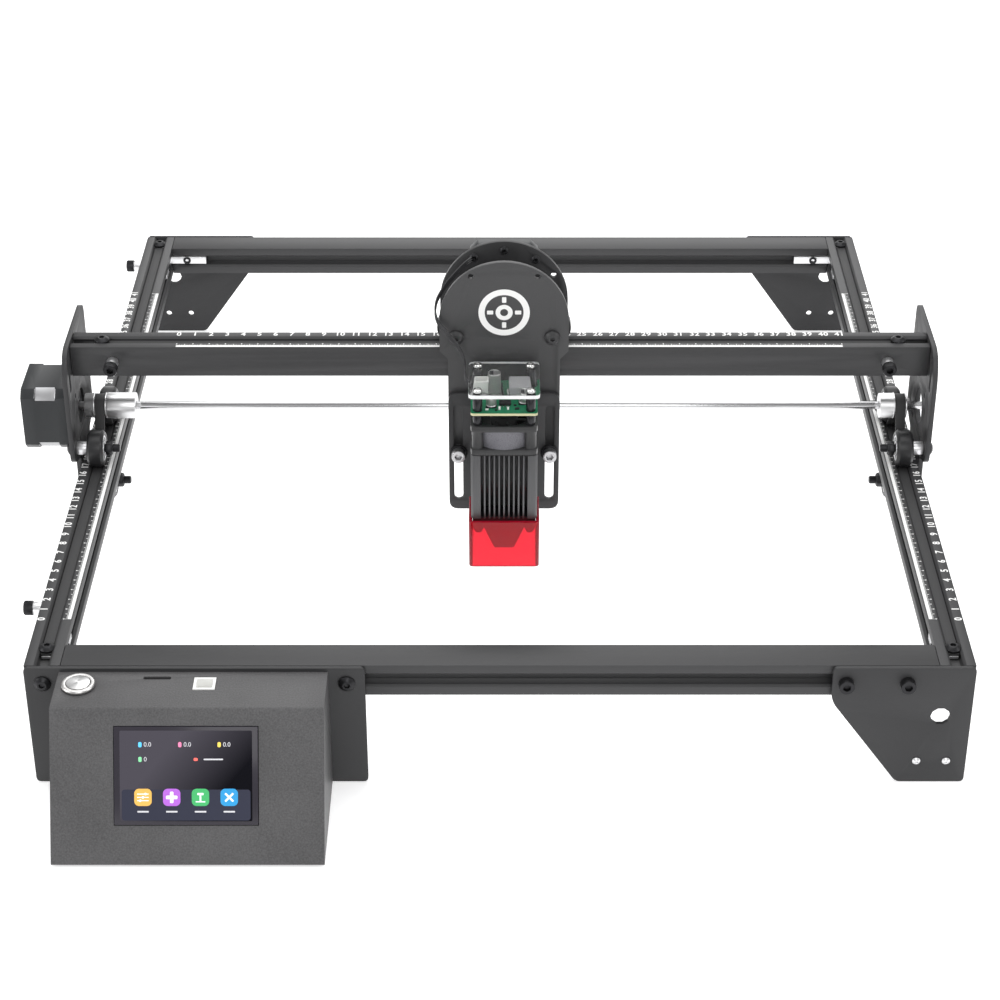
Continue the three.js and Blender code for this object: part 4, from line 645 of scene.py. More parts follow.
def stop_bolt(node, towards):
    """A bright spacer, and a knurled cap screw on it."""
    low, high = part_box(node)
    body = frame["nodes"][node]["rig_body"]
    axis = Vector(towards)
    middle = (low + high) / 2
    length = abs(axis.dot(high - low))
    outer = (high.z - low.z) / 2
    shown, cap = 0.0124, 0.0052
    seat = middle + axis * (length / 2 - shown)
    spacer = turned([(outer * 0.84, 0), (outer * 0.84, shown - cap)], 40)
    broken(placed(spacer, seat, towards), 0.0002)
    settled(spacer, node + "_spacer", bright_steel, body)
    top = seat + axis * (shown - cap)
    head = turned([(outer, 0), (outer, cap * 0.86), (outer * 0.88, cap)], KNURLS)
    for vertex in head.data.vertices:
        turn = math.atan2(vertex.co.y, vertex.co.x) / math.tau
        if vertex.co.z < cap * 0.9 and round(turn * KNURLS) % 2:
            vertex.co.x *= KNURL_ROOT
            vertex.co.y *= KNURL_ROOT
    socket = HALF_KEY / math.cos(math.pi / 6)
    bpy.ops.mesh.primitive_cylinder_add(vertices=6, radius=socket, depth=cap, location=(0, 0, cap))
    hollowed(head, bpy.context.object)
    broken(placed(head, top, towards), 0)
    settled(head, node + "_cap", black_steel, body)
    return [spacer, head]


for node in ("front_stop_bolt", "rear_stop_bolt"):
    pieces = stop_bolt(node, (-1, 0, 0))
    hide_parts(node)
for node in ("left_beam_stop", "right_beam_stop"):
    pieces = stop_bolt(node, (0, -1, 0))
    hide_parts(node)

# ---- Control box ----
# A folded steel box with a sloped front, coated with the legs' grained powder, holds the
# controller board. It is screwed to the wide leg plate.
box_powder = surface("grained box powder coat", (0.082, 0.081, 0.083), 0.46, 0.0, 0.0009, 0.00012, 0.75)
machined("control_box_shell", box_powder, 0.0006, plain=False)


def dressed(piece, finish, wanted):
    """Gives the faces that pass the test a finish of their own."""
    piece.data.materials.append(finish)
    number = len(piece.data.materials) - 1
    for face in piece.data.polygons:
        if wanted(face.center, face.normal):
            face.material_index = number


board_green = surface("circuit board", (0.012, 0.16, 0.075), 0.38, 0, 0.0012, 0.000004, 0.25)
white_plastic = surface("white connector plastic", (0.82, 0.82, 0.8), 0.45, 0, 0.0003, 0.000004, 0.04)
black_plastic = surface("black moulded plastic", (0.018, 0.018, 0.019), 0.46, 0, 0.0004, 0.00001, 0.2)
box_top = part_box("control_box_shell")[1].z
mainboard = machined("mainboard", board_green, 0.0001)
CARD_FROM_USB = -0.155
JACK_END = -0.212
for finish, wanted in (
    (white_plastic, lambda middle, normal: middle.z > box_top - 0.016 and middle.x > CARD_FROM_USB),
    (black_plastic, lambda middle, normal: middle.z > box_top - 0.02 and middle.x < CARD_FROM_USB),
    (black_plastic, lambda middle, normal: middle.x < JACK_END),
):
    dressed(mainboard, finish, wanted)

# ---- Touch screen ----
# A black-framed glass screen set in the slope. The page shows position readouts as numbers and
# four coloured buttons.
screen_glass = surface("black screen glass", (0.03, 0.027, 0.036), 0.2, 0, 0.002, 0.000001, 0.1)
machined("touchscreen", screen_glass, 0.0004)
bezel = frame["nodes"]["touchscreen"]
glass = max(bezel.data.polygons, key=lambda face: face.area if face.normal.y < -0.5 else 0)
outward = glass.normal.copy()
level = glass.center.dot(outward)
rim = [v.co for v in bezel.data.vertices if abs(v.co.dot(outward) - level) < 1e-5]
screen_middle = sum(rim, Vector()) / len(rim)
across = Vector((1, 0, 0))
uphill = outward.cross(across)
slope = Matrix((across, uphill, outward)).transposed().to_4x4()
bezel_low, bezel_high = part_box("touchscreen")
SCREEN_ACROSS = bezel_high.x - bezel_low.x - 0.0064
SCREEN_UP = 0.0492


def glowing(name, colour, strength):
    """A lit part of the screen, a little uneven as a backlight is."""
    finish, nodes, links = started(name)
    shader = nodes["Principled BSDF"]
    shader.inputs["Roughness"].default_value = 0.16
    shader.inputs["Emission Strength"].default_value = strength
    where = added(nodes, "TexCoord")
    cloud = added(nodes, "TexNoise", ("Scale", 60))
    links.new(where.outputs["Object"], cloud.inputs["Vector"])
    links.new(varied(nodes, links, colour, 0.08, cloud.outputs["Fac"]), shader.inputs["Emission Color"])
    return finish


page, nodes, links = started("screen page")
where = added(nodes, "TexCoord")
apart = added(nodes, "SeparateXYZ")
links.new(where.outputs["Object"], apart.inputs["Vector"])
lean = added(nodes, "Math")
lean.operation = "SUBTRACT"
links.new(apart.outputs["X"], lean.inputs[0])
links.new(apart.outputs["Z"], lean.inputs[1])
pale_end = bezel_low.x - bezel_low.z - 0.01
dark_end = bezel_high.x - bezel_high.z + 0.012
fade = added(nodes, "MapRange", ("From Min", pale_end), ("From Max", dark_end))
links.new(lean.outputs[0], fade.inputs["Value"])
ramp = added(nodes, "ValToRGB")
ramp.color_ramp.elements[0].color = (0.052, 0.048, 0.06, 1)
ramp.color_ramp.elements[1].color = (0.002, 0.002, 0.004, 1)
links.new(fade.outputs["Result"], ramp.inputs["Fac"])
shader = nodes["Principled BSDF"]
for socket in ("Base Color", "Emission Color"):
    links.new(ramp.outputs["Color"], shader.inputs[socket])
for socket, value in (("Emission Strength", 0.45), ("Specular IOR Level", 0.14), ("Roughness", 0.14)):
    shader.inputs[socket].default_value = value


FILM = 0.00006


def on_screen(piece, right, up, films, name, finish):
    """Lays a flat piece, made about its own middle, on the screen, some films' thickness up."""
    only(piece)
    bpy.ops.object.transform_apply(location=True, rotation=True, scale=True)
    lay = Matrix.Translation(screen_middle) @ slope @ Matrix.Translation((right, up, films * FILM))
    piece.data.transform(lay)
    return settled(piece, name, finish, "root")


def tile(width, height, thick, corner):
    """A flat tile with rounded corners."""
    piece = bar((width, height, thick))
    only(piece)
    shape_on()
    bpy.ops.mesh.select_mode(type="EDGE")
    bpy.ops.mesh.select_all(action="DESELECT")
    shape_off()
    for edge in piece.data.edges:
        ends = [piece.data.vertices[i].co for i in edge.vertices]
        edge.select = abs(ends[0].z - ends[1].z) > thick / 2
    shape_on()
    bpy.ops.mesh.bevel(offset=corner, segments=6)
    shape_off()
    bpy.ops.object.shade_smooth_by_angle(angle=math.radians(35))
    return piece


on_screen(tile(SCREEN_ACROSS, SCREEN_UP, FILM, 0.0008), 0, 0, 0.5, "screen_page", page)
pale_light = glowing("pale screen light", (0.55, 0.55, 0.58), 0.35)
icon_ground = glowing("icon line", (0.8, 0.85, 0.88), 0.35)
shelf = glowing("screen shelf light", (0.022, 0.024, 0.042), 0.4)
on_screen(tile(SCREEN_ACROSS - 0.002, 0.0168, FILM, 0.0016), 0, -0.0158, 1.2, "screen_shelf", shelf)
BUTTON = 0.0094
BUTTON_PITCH = 0.0155
BUTTON_ROW = -0.0116
sliders = [((0.0062, 0.0005), (0, row * 0.0018)) for row in (-1, 0, 1)]
knobs = [((0.0011, 0.0013), (row * 0.0014, row * 0.0018)) for row in (-1, 0, 1)]
stem = [((0.0009, 0.0044), (0, 0)), ((0.0034, 0.0012), (0, 0.0018))]
for number, (label, colour, shapes) in enumerate((
    ("yellow", (0.75, 0.44, 0.1), [shape for row in zip(sliders, knobs) for shape in row]),
    ("violet", (0.42, 0.13, 0.62), [((0.0062, 0.0019), (0, 0)), ((0.0019, 0.0062), (0, 0))]),
    ("green", (0.06, 0.42, 0.14), [((0.0052, 0.0006), (0, -0.0024))] + stem),
    ("blue", (0.03, 0.3, 0.62), [((0.0062, 0.0011), (0, 0)), ((0.0011, 0.0062), (0, 0))]),
)):
    right = (number - 1.5) * BUTTON_PITCH
    light = glowing(label + " button light", colour, 0.24)
    on_screen(tile(BUTTON, BUTTON, FILM, 0.0026), right, BUTTON_ROW, 2, label + "_button", light)
    for count, ((width, height), (x, y)) in enumerate(shapes):
        mark = tile(width, height, FILM, min(width, height) * 0.3)
        if label == "blue":
            mark.rotation_euler.z = math.pi / 4
        name = f"{label}_button_mark_{count + 1}"
        on_screen(mark, right + x, BUTTON_ROW + y, 2.8, name, icon_ground)
    caption = tile(0.0062, 0.0009, FILM, 0.0003)
    on_screen(caption, right, BUTTON_ROW - 0.0078, 1.9, label + "_button_bar", pale_light)
UPPER_ROW = 0.017
LOWER_ROW = 0.009
for label, colour, right, up, text in (
    ("first", (0.1, 0.5, 0.9), -0.0205, UPPER_ROW, "0.0"),
    ("second", (0.75, 0.2, 0.36), 0.001, UPPER_ROW, "0.0"),
    ("third", (0.75, 0.55, 0.1), 0.0222, UPPER_ROW, "0.0"),
    ("fourth", (0.2, 0.6, 0.3), -0.0205, LOWER_ROW, "0"),
):
    lamp = tile(0.0018, 0.0028, FILM, 0.0007)
    light = glowing(label + " axis light", colour, 0.5)
    on_screen(lamp, right - 0.0042, up, 1.6, label + "_axis_lamp", light)
    bpy.ops.object.select_all(action="DESELECT")
    bpy.ops.object.text_add(location=(0, 0, 0))
    digits = bpy.context.object
    digits.data.body = text
    digits.data.size = 0.0034
    digits.data.align_x = "LEFT"
    digits.data.align_y = "CENTER"
    digits.data.extrude = FILM / 2
    bpy.ops.object.convert(target="MESH")
    on_screen(digits, right - 0.0022, up, 1.6, label + "_readout", pale_light)
link_light = glowing("link lamp light", (0.8, 0.12, 0.1), 0.8)
on_screen(tile(0.0022, 0.0016, FILM, 0.0006), 0.0053, LOWER_ROW, 1.6, "link_lamp", link_light)
on_screen(tile(0.0105, 0.0008, FILM, 0.0003), 0.0148, LOWER_ROW, 1.6, "link_bar", pale_light)

# ---- Power button ----
# A latching push button of satin stainless steel, with a turned ring round its cap. The cap's face
# is spun; its radial sheen is painted into its colour as fans of painted highlight and shade round its
# middle.
satin_steel = surface("satin stainless steel", (0.63, 0.62, 0.61), 0.3, 0.95, 0.0004, 0.000006, 0.1)
machined("power_button_ring", satin_steel, 0.0003)
spun_steel_painted_sheen = surface("spun stainless steel with painted sheen", (0.6, 0.6, 0.59), 0.3, 0.9, 0.0003, 0.000006, 0.1)
nodes, links = spun_steel_painted_sheen.node_tree.nodes, spun_steel_painted_sheen.node_tree.links
# Painted sheen: the colour follows a cosine of the angle round the cap's middle, light and dark as a spun
# face catching light.
cap_low, cap_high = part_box("power_button_cap")
where = added(nodes, "TexCoord")
centred = added(nodes, "Mapping", ("Location", -(cap_low + cap_high) / 2))
links.new(where.outputs["Object"], centred.inputs["Vector"])
around = added(nodes, "TexGradient")
around.gradient_type = "RADIAL"
links.new(centred.outputs["Vector"], around.inputs["Vector"])
turns = added(nodes, "Math", (1, 4 * math.pi), (2, 0.9))
turns.operation = "MULTIPLY_ADD"
links.new(around.outputs["Fac"], turns.inputs[0])
fans = added(nodes, "Math")
fans.operation = "COSINE"
links.new(turns.outputs[0], fans.inputs[0])
sheen = added(nodes, "MapRange", ("From Min", -1), ("To Min", 0.35), ("To Max", 0.95))
links.new(fans.outputs[0], sheen.inputs["Value"])
spun = added(nodes, "CombineColor")
for channel in ("Red", "Green", "Blue"):
    links.new(sheen.outputs["Result"], spun.inputs[channel])
links.new(spun.outputs["Color"], nodes["Principled BSDF"].inputs["Base Color"])
machined("power_button_cap", spun_steel_painted_sheen, 0.0003)

# ---- Gantry side plates ----
# Cut from 3 mm aluminium and anodised like the rails. The beam, the wheels and the motor are
# bolted to them.
plate_black = surface("black anodised plate", (0.045, 0.045, 0.0465), 0.44, 0.3, 0.0004, 0.000008, 0.12)
for node in ("left_side_plate", "right_side_plate"):
    machined(node, plate_black, 0.0003)

# ---- Wheels ----
# Black acetal wheels run with their V rims in the rails' slots. A bearing with steel races sits in
# each side, and the rim is turned with a flat crown.
acetal = surface("black acetal", (0.02, 0.02, 0.021), 0.34, 0, 0.0008, 0.000006, 0.15)
shield_grey = surface("bearing shield", (0.2, 0.2, 0.205), 0.35, 0.6, 0.0004, 0.000003, 0.08)
BEARING = 0.008
WHEELS = [side + place + "_wheel" for side in ("left_", "right_") for place in ("front", "rear", "lower")]
WHEELS += ["carriage_left_wheel", "carriage_right_wheel", "carriage_lower_wheel"]
low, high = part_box(WHEELS[0])
wheel_radius = (high.z - low.z) / 2
wheel_width = high.x - low.x
flat = wheel_width * 0.34
half = wheel_width / 2
V_ROOT = wheel_radius - (half - flat)
RIM_BREAK = 0.0006
near_side = [(BEARING, RIM_BREAK - half), (BEARING + RIM_BREAK, -half), (V_ROOT, -half)]
near_side.append((wheel_radius, -flat))
far_side = [(radius, -height) for radius, height in reversed(near_side)]
rim_pattern = turned(near_side + far_side + near_side[:1], 72)
broken(rim_pattern, 0.00015, 2, 25)
race_pattern = []
for inner, outer, back, finish in (
    (0.0069, BEARING, 0.0003, bright_steel),
    (0.0042, 0.0069, 0.0007, shield_grey),
    (0.0027, 0.0042, 0.0002, bright_steel),
):
    ring = collar(inner, outer, back - half, half - back)
    broken(ring, 0.00012, 2)
    ring.data.materials.append(finish)
    race_pattern.append(ring)
bearing_pattern = joined(race_pattern)
for node in WHEELS:
    low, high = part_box(node)
    axis = (0, 1, 0) if "carriage" in node else (1, 0, 0)
    body = frame["nodes"][node]["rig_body"]
    for pattern, name, finish in ((rim_pattern, "rim", acetal), (bearing_pattern, "bearing", None)):
        part = placed(copied(f"{node}_{name}", pattern.data), (low + high) / 2, axis)
        settled(part, f"{node}_{name}", finish, body)
        if name == "rim":
            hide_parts(node)
bpy.data.objects.remove(rim_pattern)
bpy.data.objects.remove(bearing_pattern)

# ---- Wheel axles ----
# An M5 screw passes through the side plate, a spacer, the wheel and a lock nut, and its threaded
# end stands out of the nut. Two more screws hold each plate to the end of the beam.
THREAD_END = 0.0034
LOCK_NUT = [(0.0025, 0.0004), (0.0042, 0), (0.0046, 0.0004), (0.0046, 0.0036), (0.0038, 0.0046)]
LOCK_NUT += [(0.0025, 0.0046), (0.0025, 0.0004)]
for side, sign in (("left", 1), ("right", -1)):
    plate_low, plate_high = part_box(side + "_side_plate")
    plate_inner = plate_high.x if sign > 0 else plate_low.x
    plate_outer = plate_low.x if sign > 0 else plate_high.x
    for place in ("front", "rear", "lower"):
        low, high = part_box(f"{side}_{place}_axle")
        middle = (low + high) / 2
        wheel_low, wheel_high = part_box(f"{side}_{place}_wheel")
        near = wheel_low.x if sign > 0 else wheel_high.x
        far = wheel_high.x if sign > 0 else wheel_low.x
        tip = high.x if sign > 0 else low.x
        span = abs(near - plate_inner) - 0.0004
        inwards = (sign, 0, 0)
        spacer = collar(0.0026, 0.0042, 0, span, 40)
        broken(placed(spacer, (plate_inner + sign * 0.0002, middle.y, middle.z), inwards), 0.00025)
        settled(spacer, f"{side}_{place}_wheel_spacer", bright_steel, "gantry")
        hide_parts(f"{side}_{place}_axle")
        seat = (plate_outer, middle.y, middle.z)
        fixed(button_head, f"{side}_{place}_axle_head", seat, (-sign, 0, 0), "gantry")
        reach = abs(tip - plate_outer) + THREAD_END
        shank = turned([(0.0023, 0), (0.0025, 0.0005), (0.0025, reach - 0.0006), (0.0019, reach)], 32)
        broken(placed(shank, seat, inwards), 0)
        settled(shank, f"{side}_{place}_axle_shank", black_steel, "gantry")
        nut = turned(LOCK_NUT, 6)
        broken(placed(nut, (far + sign * 0.0005, middle.y, middle.z), inwards), 0.0002)
        settled(nut, f"{side}_{place}_lock_nut", black_steel, "gantry")

    for number, y in enumerate((-0.0052, 0.0052)):
        beam_middle = (beam_low + beam_high) / 2
        seat = (plate_outer, beam_middle.y + y, beam_middle.z)
        fixed(button_head, f"{side}_beam_end_screw_{number + 1}", seat, (-sign, 0, 0), "gantry", number)

# ---- Drive shaft, pulleys and coupler ----
# A ground 5 mm steel shaft turns both sides' toothed pulleys, and a slit aluminium coupler with
# grub screws joins it to the motor.
ground_steel = surface("ground steel", (0.68, 0.68, 0.69), 0.16, 1.0, 0.0004, 0.000002, 0.05)
bright_aluminium = surface(
    "turned aluminium", (0.8, 0.8, 0.805), 0.34, 0.92, 0.0003, 0.000005, 0.06, stretch=(6, 1, 1)
)
machined("drive_shaft", ground_steel, 0.0002)
for node in ("left_pulley", "right_pulley", "x_pulley", "shaft_coupler"):
    machined(node, bright_aluminium, 0.0002)
coupler_low, coupler_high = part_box("shaft_coupler")
drive_y = (coupler_low.y + coupler_high.y) / 2
drive_z = (coupler_low.z + coupler_high.z) / 2
coupler_radius = (coupler_high.z - coupler_low.z) / 2
turn = math.radians(-35)
out = Vector((0, math.cos(turn), math.sin(turn)))
for number, x in enumerate((coupler_high.x - 0.0042, coupler_high.x - 0.0135)):
    seat = Vector((x, drive_y, drive_z)) + out * (coupler_radius - 0.0024)
    fixed(small_cap, f"coupler_grub_screw_{number + 1}", seat, out, "drive", finish=black_steel)

HUB_RADIUS = 0.0072
turn = math.radians(168)
out = Vector((0, math.cos(turn), math.sin(turn)))
seat = Vector((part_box("right_pulley")[0].x + 0.0042, drive_y, drive_z)) + out * (HUB_RADIUS - 0.0016)
grub = fixed(small_cap, "right_pulley_grub_screw", seat, out, "drive", finish=black_steel)
smaller(grub, seat, 0.62)

# ---- Stepper motors ----
# Square motors with black cast end caps. The laminated middle is black, and its cut corners are
# bare bright steel.
motor_black = surface("motor enamel", (0.024, 0.026, 0.028), 0.36, 0.1, 0.0005, 0.000012, 0.18)
laminate = surface(
    "bare laminations", (0.42, 0.42, 0.43), 0.36, 0.9, 0.0003, 0.00002, 0.12, stretch=(3, 1, 1)
)
MOTOR_CAP = 0.008
for node, along in (("y_motor", 0), ("x_motor", 1)):
    start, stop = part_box(node)[0][along] + MOTOR_CAP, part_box(node)[1][along] - MOTOR_CAP
    dressed(
        machined(node, motor_black, 0.00035),
        laminate,
        lambda middle, normal: start < middle[along] < stop and 0.5 < abs(normal[(along + 1) % 3]) < 0.87,
    )

# ---- Carriage ----
# Two anodised plates hold the carriage's wheels between them. Their upper ends are round, and the
# motor is screwed to the rear one. The front disc carries a printed cross-hair.
disc_black = surface("satin carriage plate", (0.062, 0.062, 0.0635), 0.4, 0.25, 0.0004, 0.000008, 0.1)
for node in ("carriage_front_plate", "carriage_rear_plate"):
    machined(node, disc_black if "front" in node else plate_black, 0.00035)
disc_low, disc_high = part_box("carriage_front_plate")
disc_x = (disc_low.x + disc_high.x) / 2
disc_z = disc_high.z - (disc_high.x - disc_low.x) / 2
mark_middle = Vector((disc_x, disc_low.y, disc_z + 0.006))
for inner, outer, name in ((0.0118, 0.0156, "outer_ring"), (0.0024, 0.0052, "inner_ring")):
    ring = collar(inner, outer, 0, INK_HEIGHT, 96)
    settled(placed(ring, mark_middle, (0, -1, 0)), "cross_hair_" + name, ink, "carriage")
for number in range(4):
    spoke = tile(0.0038, 0.0026, INK_HEIGHT, 0.0005)
    turn = Matrix.Rotation(number * math.pi / 2, 4, "Z")
    spoke.data.transform(turn @ Matrix.Translation((0.0085, 0, INK_HEIGHT / 2)))
    settled(placed(spoke, mark_middle, (0, -1, 0)), f"cross_hair_spoke_{number + 1}", ink, "carriage")
for number, (x, z) in enumerate(((0, 0.0346), (-0.0186, 0.0299), (0.0193, 0.0285))):
    seat = (disc_x + x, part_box("x_motor")[0].y - 0.0033, disc_z + z)
    fixed(small_button, f"rear_disc_screw_{number + 1}", seat, (0, -1, 0), "carriage", number)

# ---- Laser bracket ----
# A slotted plate that carries the laser. Two bright cap screws with black washers clamp it, and it
# slides up and down on them.
machined("laser_bracket", plate_black, 0.0004)
worn_steel = surface("nickel-plated screw", (0.5, 0.5, 0.51), 0.3, 0.95, 0.0004, 0.000004, 0.1)
clamp_cap = socket_screw("clamp cap pattern", 0.0085, 0.0052, 0.0085, 0.004, worn_steel)
WASHER = 0.0009
for side in ("left", "right"):
    low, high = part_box(side + "_clamp_bolt")
    seat = (low + high) / 2
    seat.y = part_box("laser_bracket")[0].y - 0.0002
    washer = collar(0.0028, 0.0055, 0, WASHER)
    broken(placed(washer, seat, (0, -1, 0)), 0.00015)
    settled(washer, side + "_clamp_washer", black_steel, "carriage")
    on_washer = seat + Vector((0, -WASHER, 0))
    head = fixed(clamp_cap, side + "_clamp_screw_head", on_washer, (0, -1, 0), "carriage", 0.5)
    shank = turned([(0.0024, -0.0002), (0.0024, 0.0105)], 24)
    broken(placed(shank, seat, (0, 1, 0)), 0)
    settled(shank, side + "_clamp_screw_shank", bright_steel, "carriage")
    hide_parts(side + "_clamp_bolt")

# ---- Heat sink ----
# A black anodised aluminium block, finned on its front and grooved in its sides. The laser diode
# is inside it.
DRAWN_DOWN = (1, 1, 0.05)
FINNED_HALF = 0.0146
sink_black = surface(
    "black anodised heat sink", (0.1, 0.1, 0.103), 0.38, 0.35, 0.0005, 0.000004, stretch=DRAWN_DOWN
)
# The fins' front faces get a lighter, more metallic copy of the sink's finish: a painted highlight where
# their edges catch the light.
fin_front_painted_highlight = surface(
    "rubbed fin edge", (0.12, 0.12, 0.124), 0.34, 0.7, 0.0005, 0.000004, 0.12, stretch=DRAWN_DOWN
)
sink_low, sink_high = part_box("heat_sink")
dressed(
    machined("heat_sink", sink_black, 0.00022),
    fin_front_painted_highlight,
    lambda middle, normal: normal.y < -0.9
    and middle.y < sink_low.y + 0.001
    and abs(middle.x - disc_x) < FINNED_HALF,
)

# ---- Fan ----
# A moulded frame of two square flanges with a round duct between them, and a rotor with seven
# blades on the pin in its middle.
fan_black = surface("fan frame plastic", (0.04, 0.04, 0.041), 0.34, 0, 0.0006, 0.00001, 0.15)
# The duct's outer wall gets a lighter copy of the frame's plastic: a painted sheen on the one moulded part.
duct_painted_sheen = surface("fan duct sheen", (0.15, 0.148, 0.165), 0.28, 0.1, 0.0006, 0.000006, 0.1)
fan_low, fan_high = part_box("fan_frame")
fan_middle = (fan_low + fan_high) / 2
FLANGE = 0.004
DUCT_WALL = (0.0192, 0.0204)
dressed(
    machined("fan_frame", fan_black, 0.0003),
    duct_painted_sheen,
    lambda middle, normal: fan_low.z + FLANGE < middle.z < fan_high.z - FLANGE
    and abs(normal.z) < 0.3
    and DUCT_WALL[0] < math.dist(middle.xy, fan_middle.xy) < DUCT_WALL[1],
)
machined("fan_rotor", fan_black, 0.0002)

# ---- Driver board ----
# A green circuit board stands over the fan on four black posts. It carries the laser's driver: a
# plug, capacitors, an inductor and a chip, soldered on.
cover_low, cover_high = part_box("clear_cover")
board_low, board_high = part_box("driver_board")
BOARD_SIZE = board_high.x - board_low.x
BOARD_THICK = 0.0016
board_bottom = fan_high.z + 0.0079
board_top = board_bottom + BOARD_THICK
POST = (sink_high.x - sink_low.x) / 2 - 0.00435


def on_board(piece, x, y, name, finish, up=0.0, edge=None):
    """Stands a piece that was made about Z on the board, x and y from the board's middle."""
    if edge is not None:
        broken(piece, edge)
    at = (fan_middle.x + x, fan_middle.y + y, board_top + up)
    return settled(placed(piece, at), name, finish, "laser_head")


board = tile(BOARD_SIZE, BOARD_SIZE, BOARD_THICK, 0.0018)
board_edge = surface("board edge resin", (0.6, 0.58, 0.36), 0.5, 0, 0.0004, 0.00001, 0.12)
on_board(board, 0, 0, "driver_circuit_board", board_green, -BOARD_THICK / 2)
dressed(board, board_edge, lambda middle, normal: abs(normal.z) < 0.5)
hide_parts("driver_board")
post_black = surface("polished black post", (0.03, 0.03, 0.033), 0.14, 0.5, 0.0006, 0.000002, 0.15)
screw_zinc = surface("zinc-plated screw", (0.78, 0.78, 0.77), 0.2, 1.0, 0.0003, 0.000003, 0.08)
for number, (x, y) in enumerate(((-POST, -POST), (POST, -POST), (-POST, POST), (POST, POST))):
    for name, bottom, top in (
        ("lower", fan_high.z + 0.0001, board_bottom),
        ("upper", board_top, cover_low.z),
    ):
        post = turned([(0.0029, 0), (0.0029, top - bottom)], 40)
        on_board(post, x, y, f"{name}_post_{number + 1}", post_black, bottom - board_top, 0.0003)
    pan = turned([(0.0028, 0), (0.0028, 0.0007), (0.0024, 0.0014), (0.0015, 0.0018)], 40)
    for turn in (0, math.pi / 2):
        cross = bar((0.003, 0.0007, 0.0016))
        at = Matrix.Translation((0, 0, 0.0016))
        cross.data.transform(Matrix.Rotation(turn + 0.5, 4, "Z") @ at)
        hollowed(pan, cross)
    on_board(pan, x, y, f"cover_screw_{number + 1}", screw_zinc, cover_high.z - board_top, 0.0001)
can_grey = surface("capacitor sleeve", (0.42, 0.42, 0.41), 0.35, 0.5, 0.0005, 0.000004, 0.08)
can_top = surface("bare capacitor top", (0.66, 0.66, 0.65), 0.3, 0.9, 0.0004, 0.000004, 0.06)
part_black = surface("moulded chip", (0.02, 0.02, 0.022), 0.5, 0, 0.0005, 0.000008, 0.2)
core_grey = surface("pressed inductor core", (0.36, 0.36, 0.37), 0.55, 0.1, 0.0004, 0.00002, 0.14)
for number, (x, y, radius, height) in enumerate((
    (-0.0058, 0.0125, 0.004, 0.0092),
    (-0.0078, -0.0105, 0.0031, 0.0064),
    (0.0122, -0.0062, 0.0034, 0.0078),
)):
    crimp = [(radius, 0), (radius, 0.0008), (radius * 0.9, 0.0012), (radius, 0.0017)]
    rolled_top = [(radius, height - 0.0004), (radius * 0.9, height), (radius * 0.84, height - 0.0002)]
    can = turned(crimp + rolled_top)
    name = f"capacitor_{number + 1}"
    on_board(can, x, y, name, can_grey, 0, 0)
    dressed(can, can_top, lambda middle, normal: normal.z > 0.6)
    on_board(tile(radius * 2.1, radius * 2.1, 0.0007, 0.0006), x, y, name + "_foot", part_black, 0.00035)
    stripe = bar((radius * 0.62, radius * 1.3, 0.00008))
    on_board(stripe, x - radius * 0.45, y, name + "_mark", part_black, height - 0.00012, 0)
INDUCTOR = (0.009, 0.0078)
on_board(tile(0.0125, 0.0115, 0.0052, 0.0012), *INDUCTOR, "inductor", core_grey, 0.0034, 0.0004)
on_board(tile(0.0119, 0.0109, 0.0012, 0.0008), *INDUCTOR, "inductor_base", part_black, 0.0004)
for number, sign in enumerate((-1, 1)):
    x = INDUCTOR[0] + sign * 0.0064
    lug = bar((0.0008, 0.0042, 0.0022))
    on_board(lug, x, INDUCTOR[1], f"inductor_lug_{number + 1}", screw_zinc, 0.0011, 0.0001)
PLUG = (-0.0132, 0.0085)
shell = tile(0.0082, 0.0062, 0.0072, 0.0004)
hollowed(shell, bar((0.0068, 0.0046, 0.006), (0, 0, 0.0024)))
on_board(shell, *PLUG, "laser_plug_shell", white_plastic, 0.0036, 0.0002)
for number in range(3):
    pin = tile(0.0007, 0.0007, 0.0052, 0.0001)
    x = PLUG[0] + (number - 1) * 0.002
    on_board(pin, x, PLUG[1], f"laser_plug_pin_{number + 1}", screw_zinc, 0.003)
CHIP = (0.0006, -0.0086)
on_board(tile(0.0072, 0.0046, 0.0016, 0.0003), *CHIP, "driver_chip", part_black, 0.0011, 0.0002)
for number in range(8):
    x = CHIP[0] + (number % 4 - 1.5) * 0.0017
    y = CHIP[1] + (-0.0031 if number < 4 else 0.0031)
    leg = bar((0.0006, 0.0019, 0.0004))
    on_board(leg, x, y, f"driver_chip_leg_{number + 1}", screw_zinc, 0.0003, 0.0001)
for number, (x, y, width, depth, finish) in enumerate((
    (-0.0028, -0.0142, 0.0012, 0.0032, white_plastic),
    (0.0024, -0.0144, 0.0012, 0.0026, white_plastic),
    (0.0078, -0.0146, 0.0028, 0.0018, part_black),
    (0.0066, -0.0104, 0.0018, 0.001, part_black),
    (-0.0104, -0.0158, 0.002, 0.001, white_plastic),
    (-0.0048, -0.0165, 0.0016, 0.0009, part_black),
    (0.0008, 0.0012, 0.0018, 0.001, part_black),
    (-0.0058, 0.0035, 0.002, 0.0012, white_plastic),
    (-0.0016, 0.0158, 0.0016, 0.0028, part_black),
    (0.0018, 0.0118, 0.0012, 0.002, white_plastic),
)):
    kind = "diode" if width > 0.002 else "resistor"
    on_board(bar((width, depth, 0.0008)), x, y, f"{kind}_{number + 1}", finish, 0.0004, 0.00012)
for number in range(7):
    pin = turned([(0.0003, 0), (0.0004, 0.0003), (0.0004, 0.0021)], 12)
    x = -0.0105 + number * 0.0022
    on_board(pin, x, -0.0168, f"board_pin_{number + 1}", screw_zinc, -BOARD_THICK - 0.0019, 0)

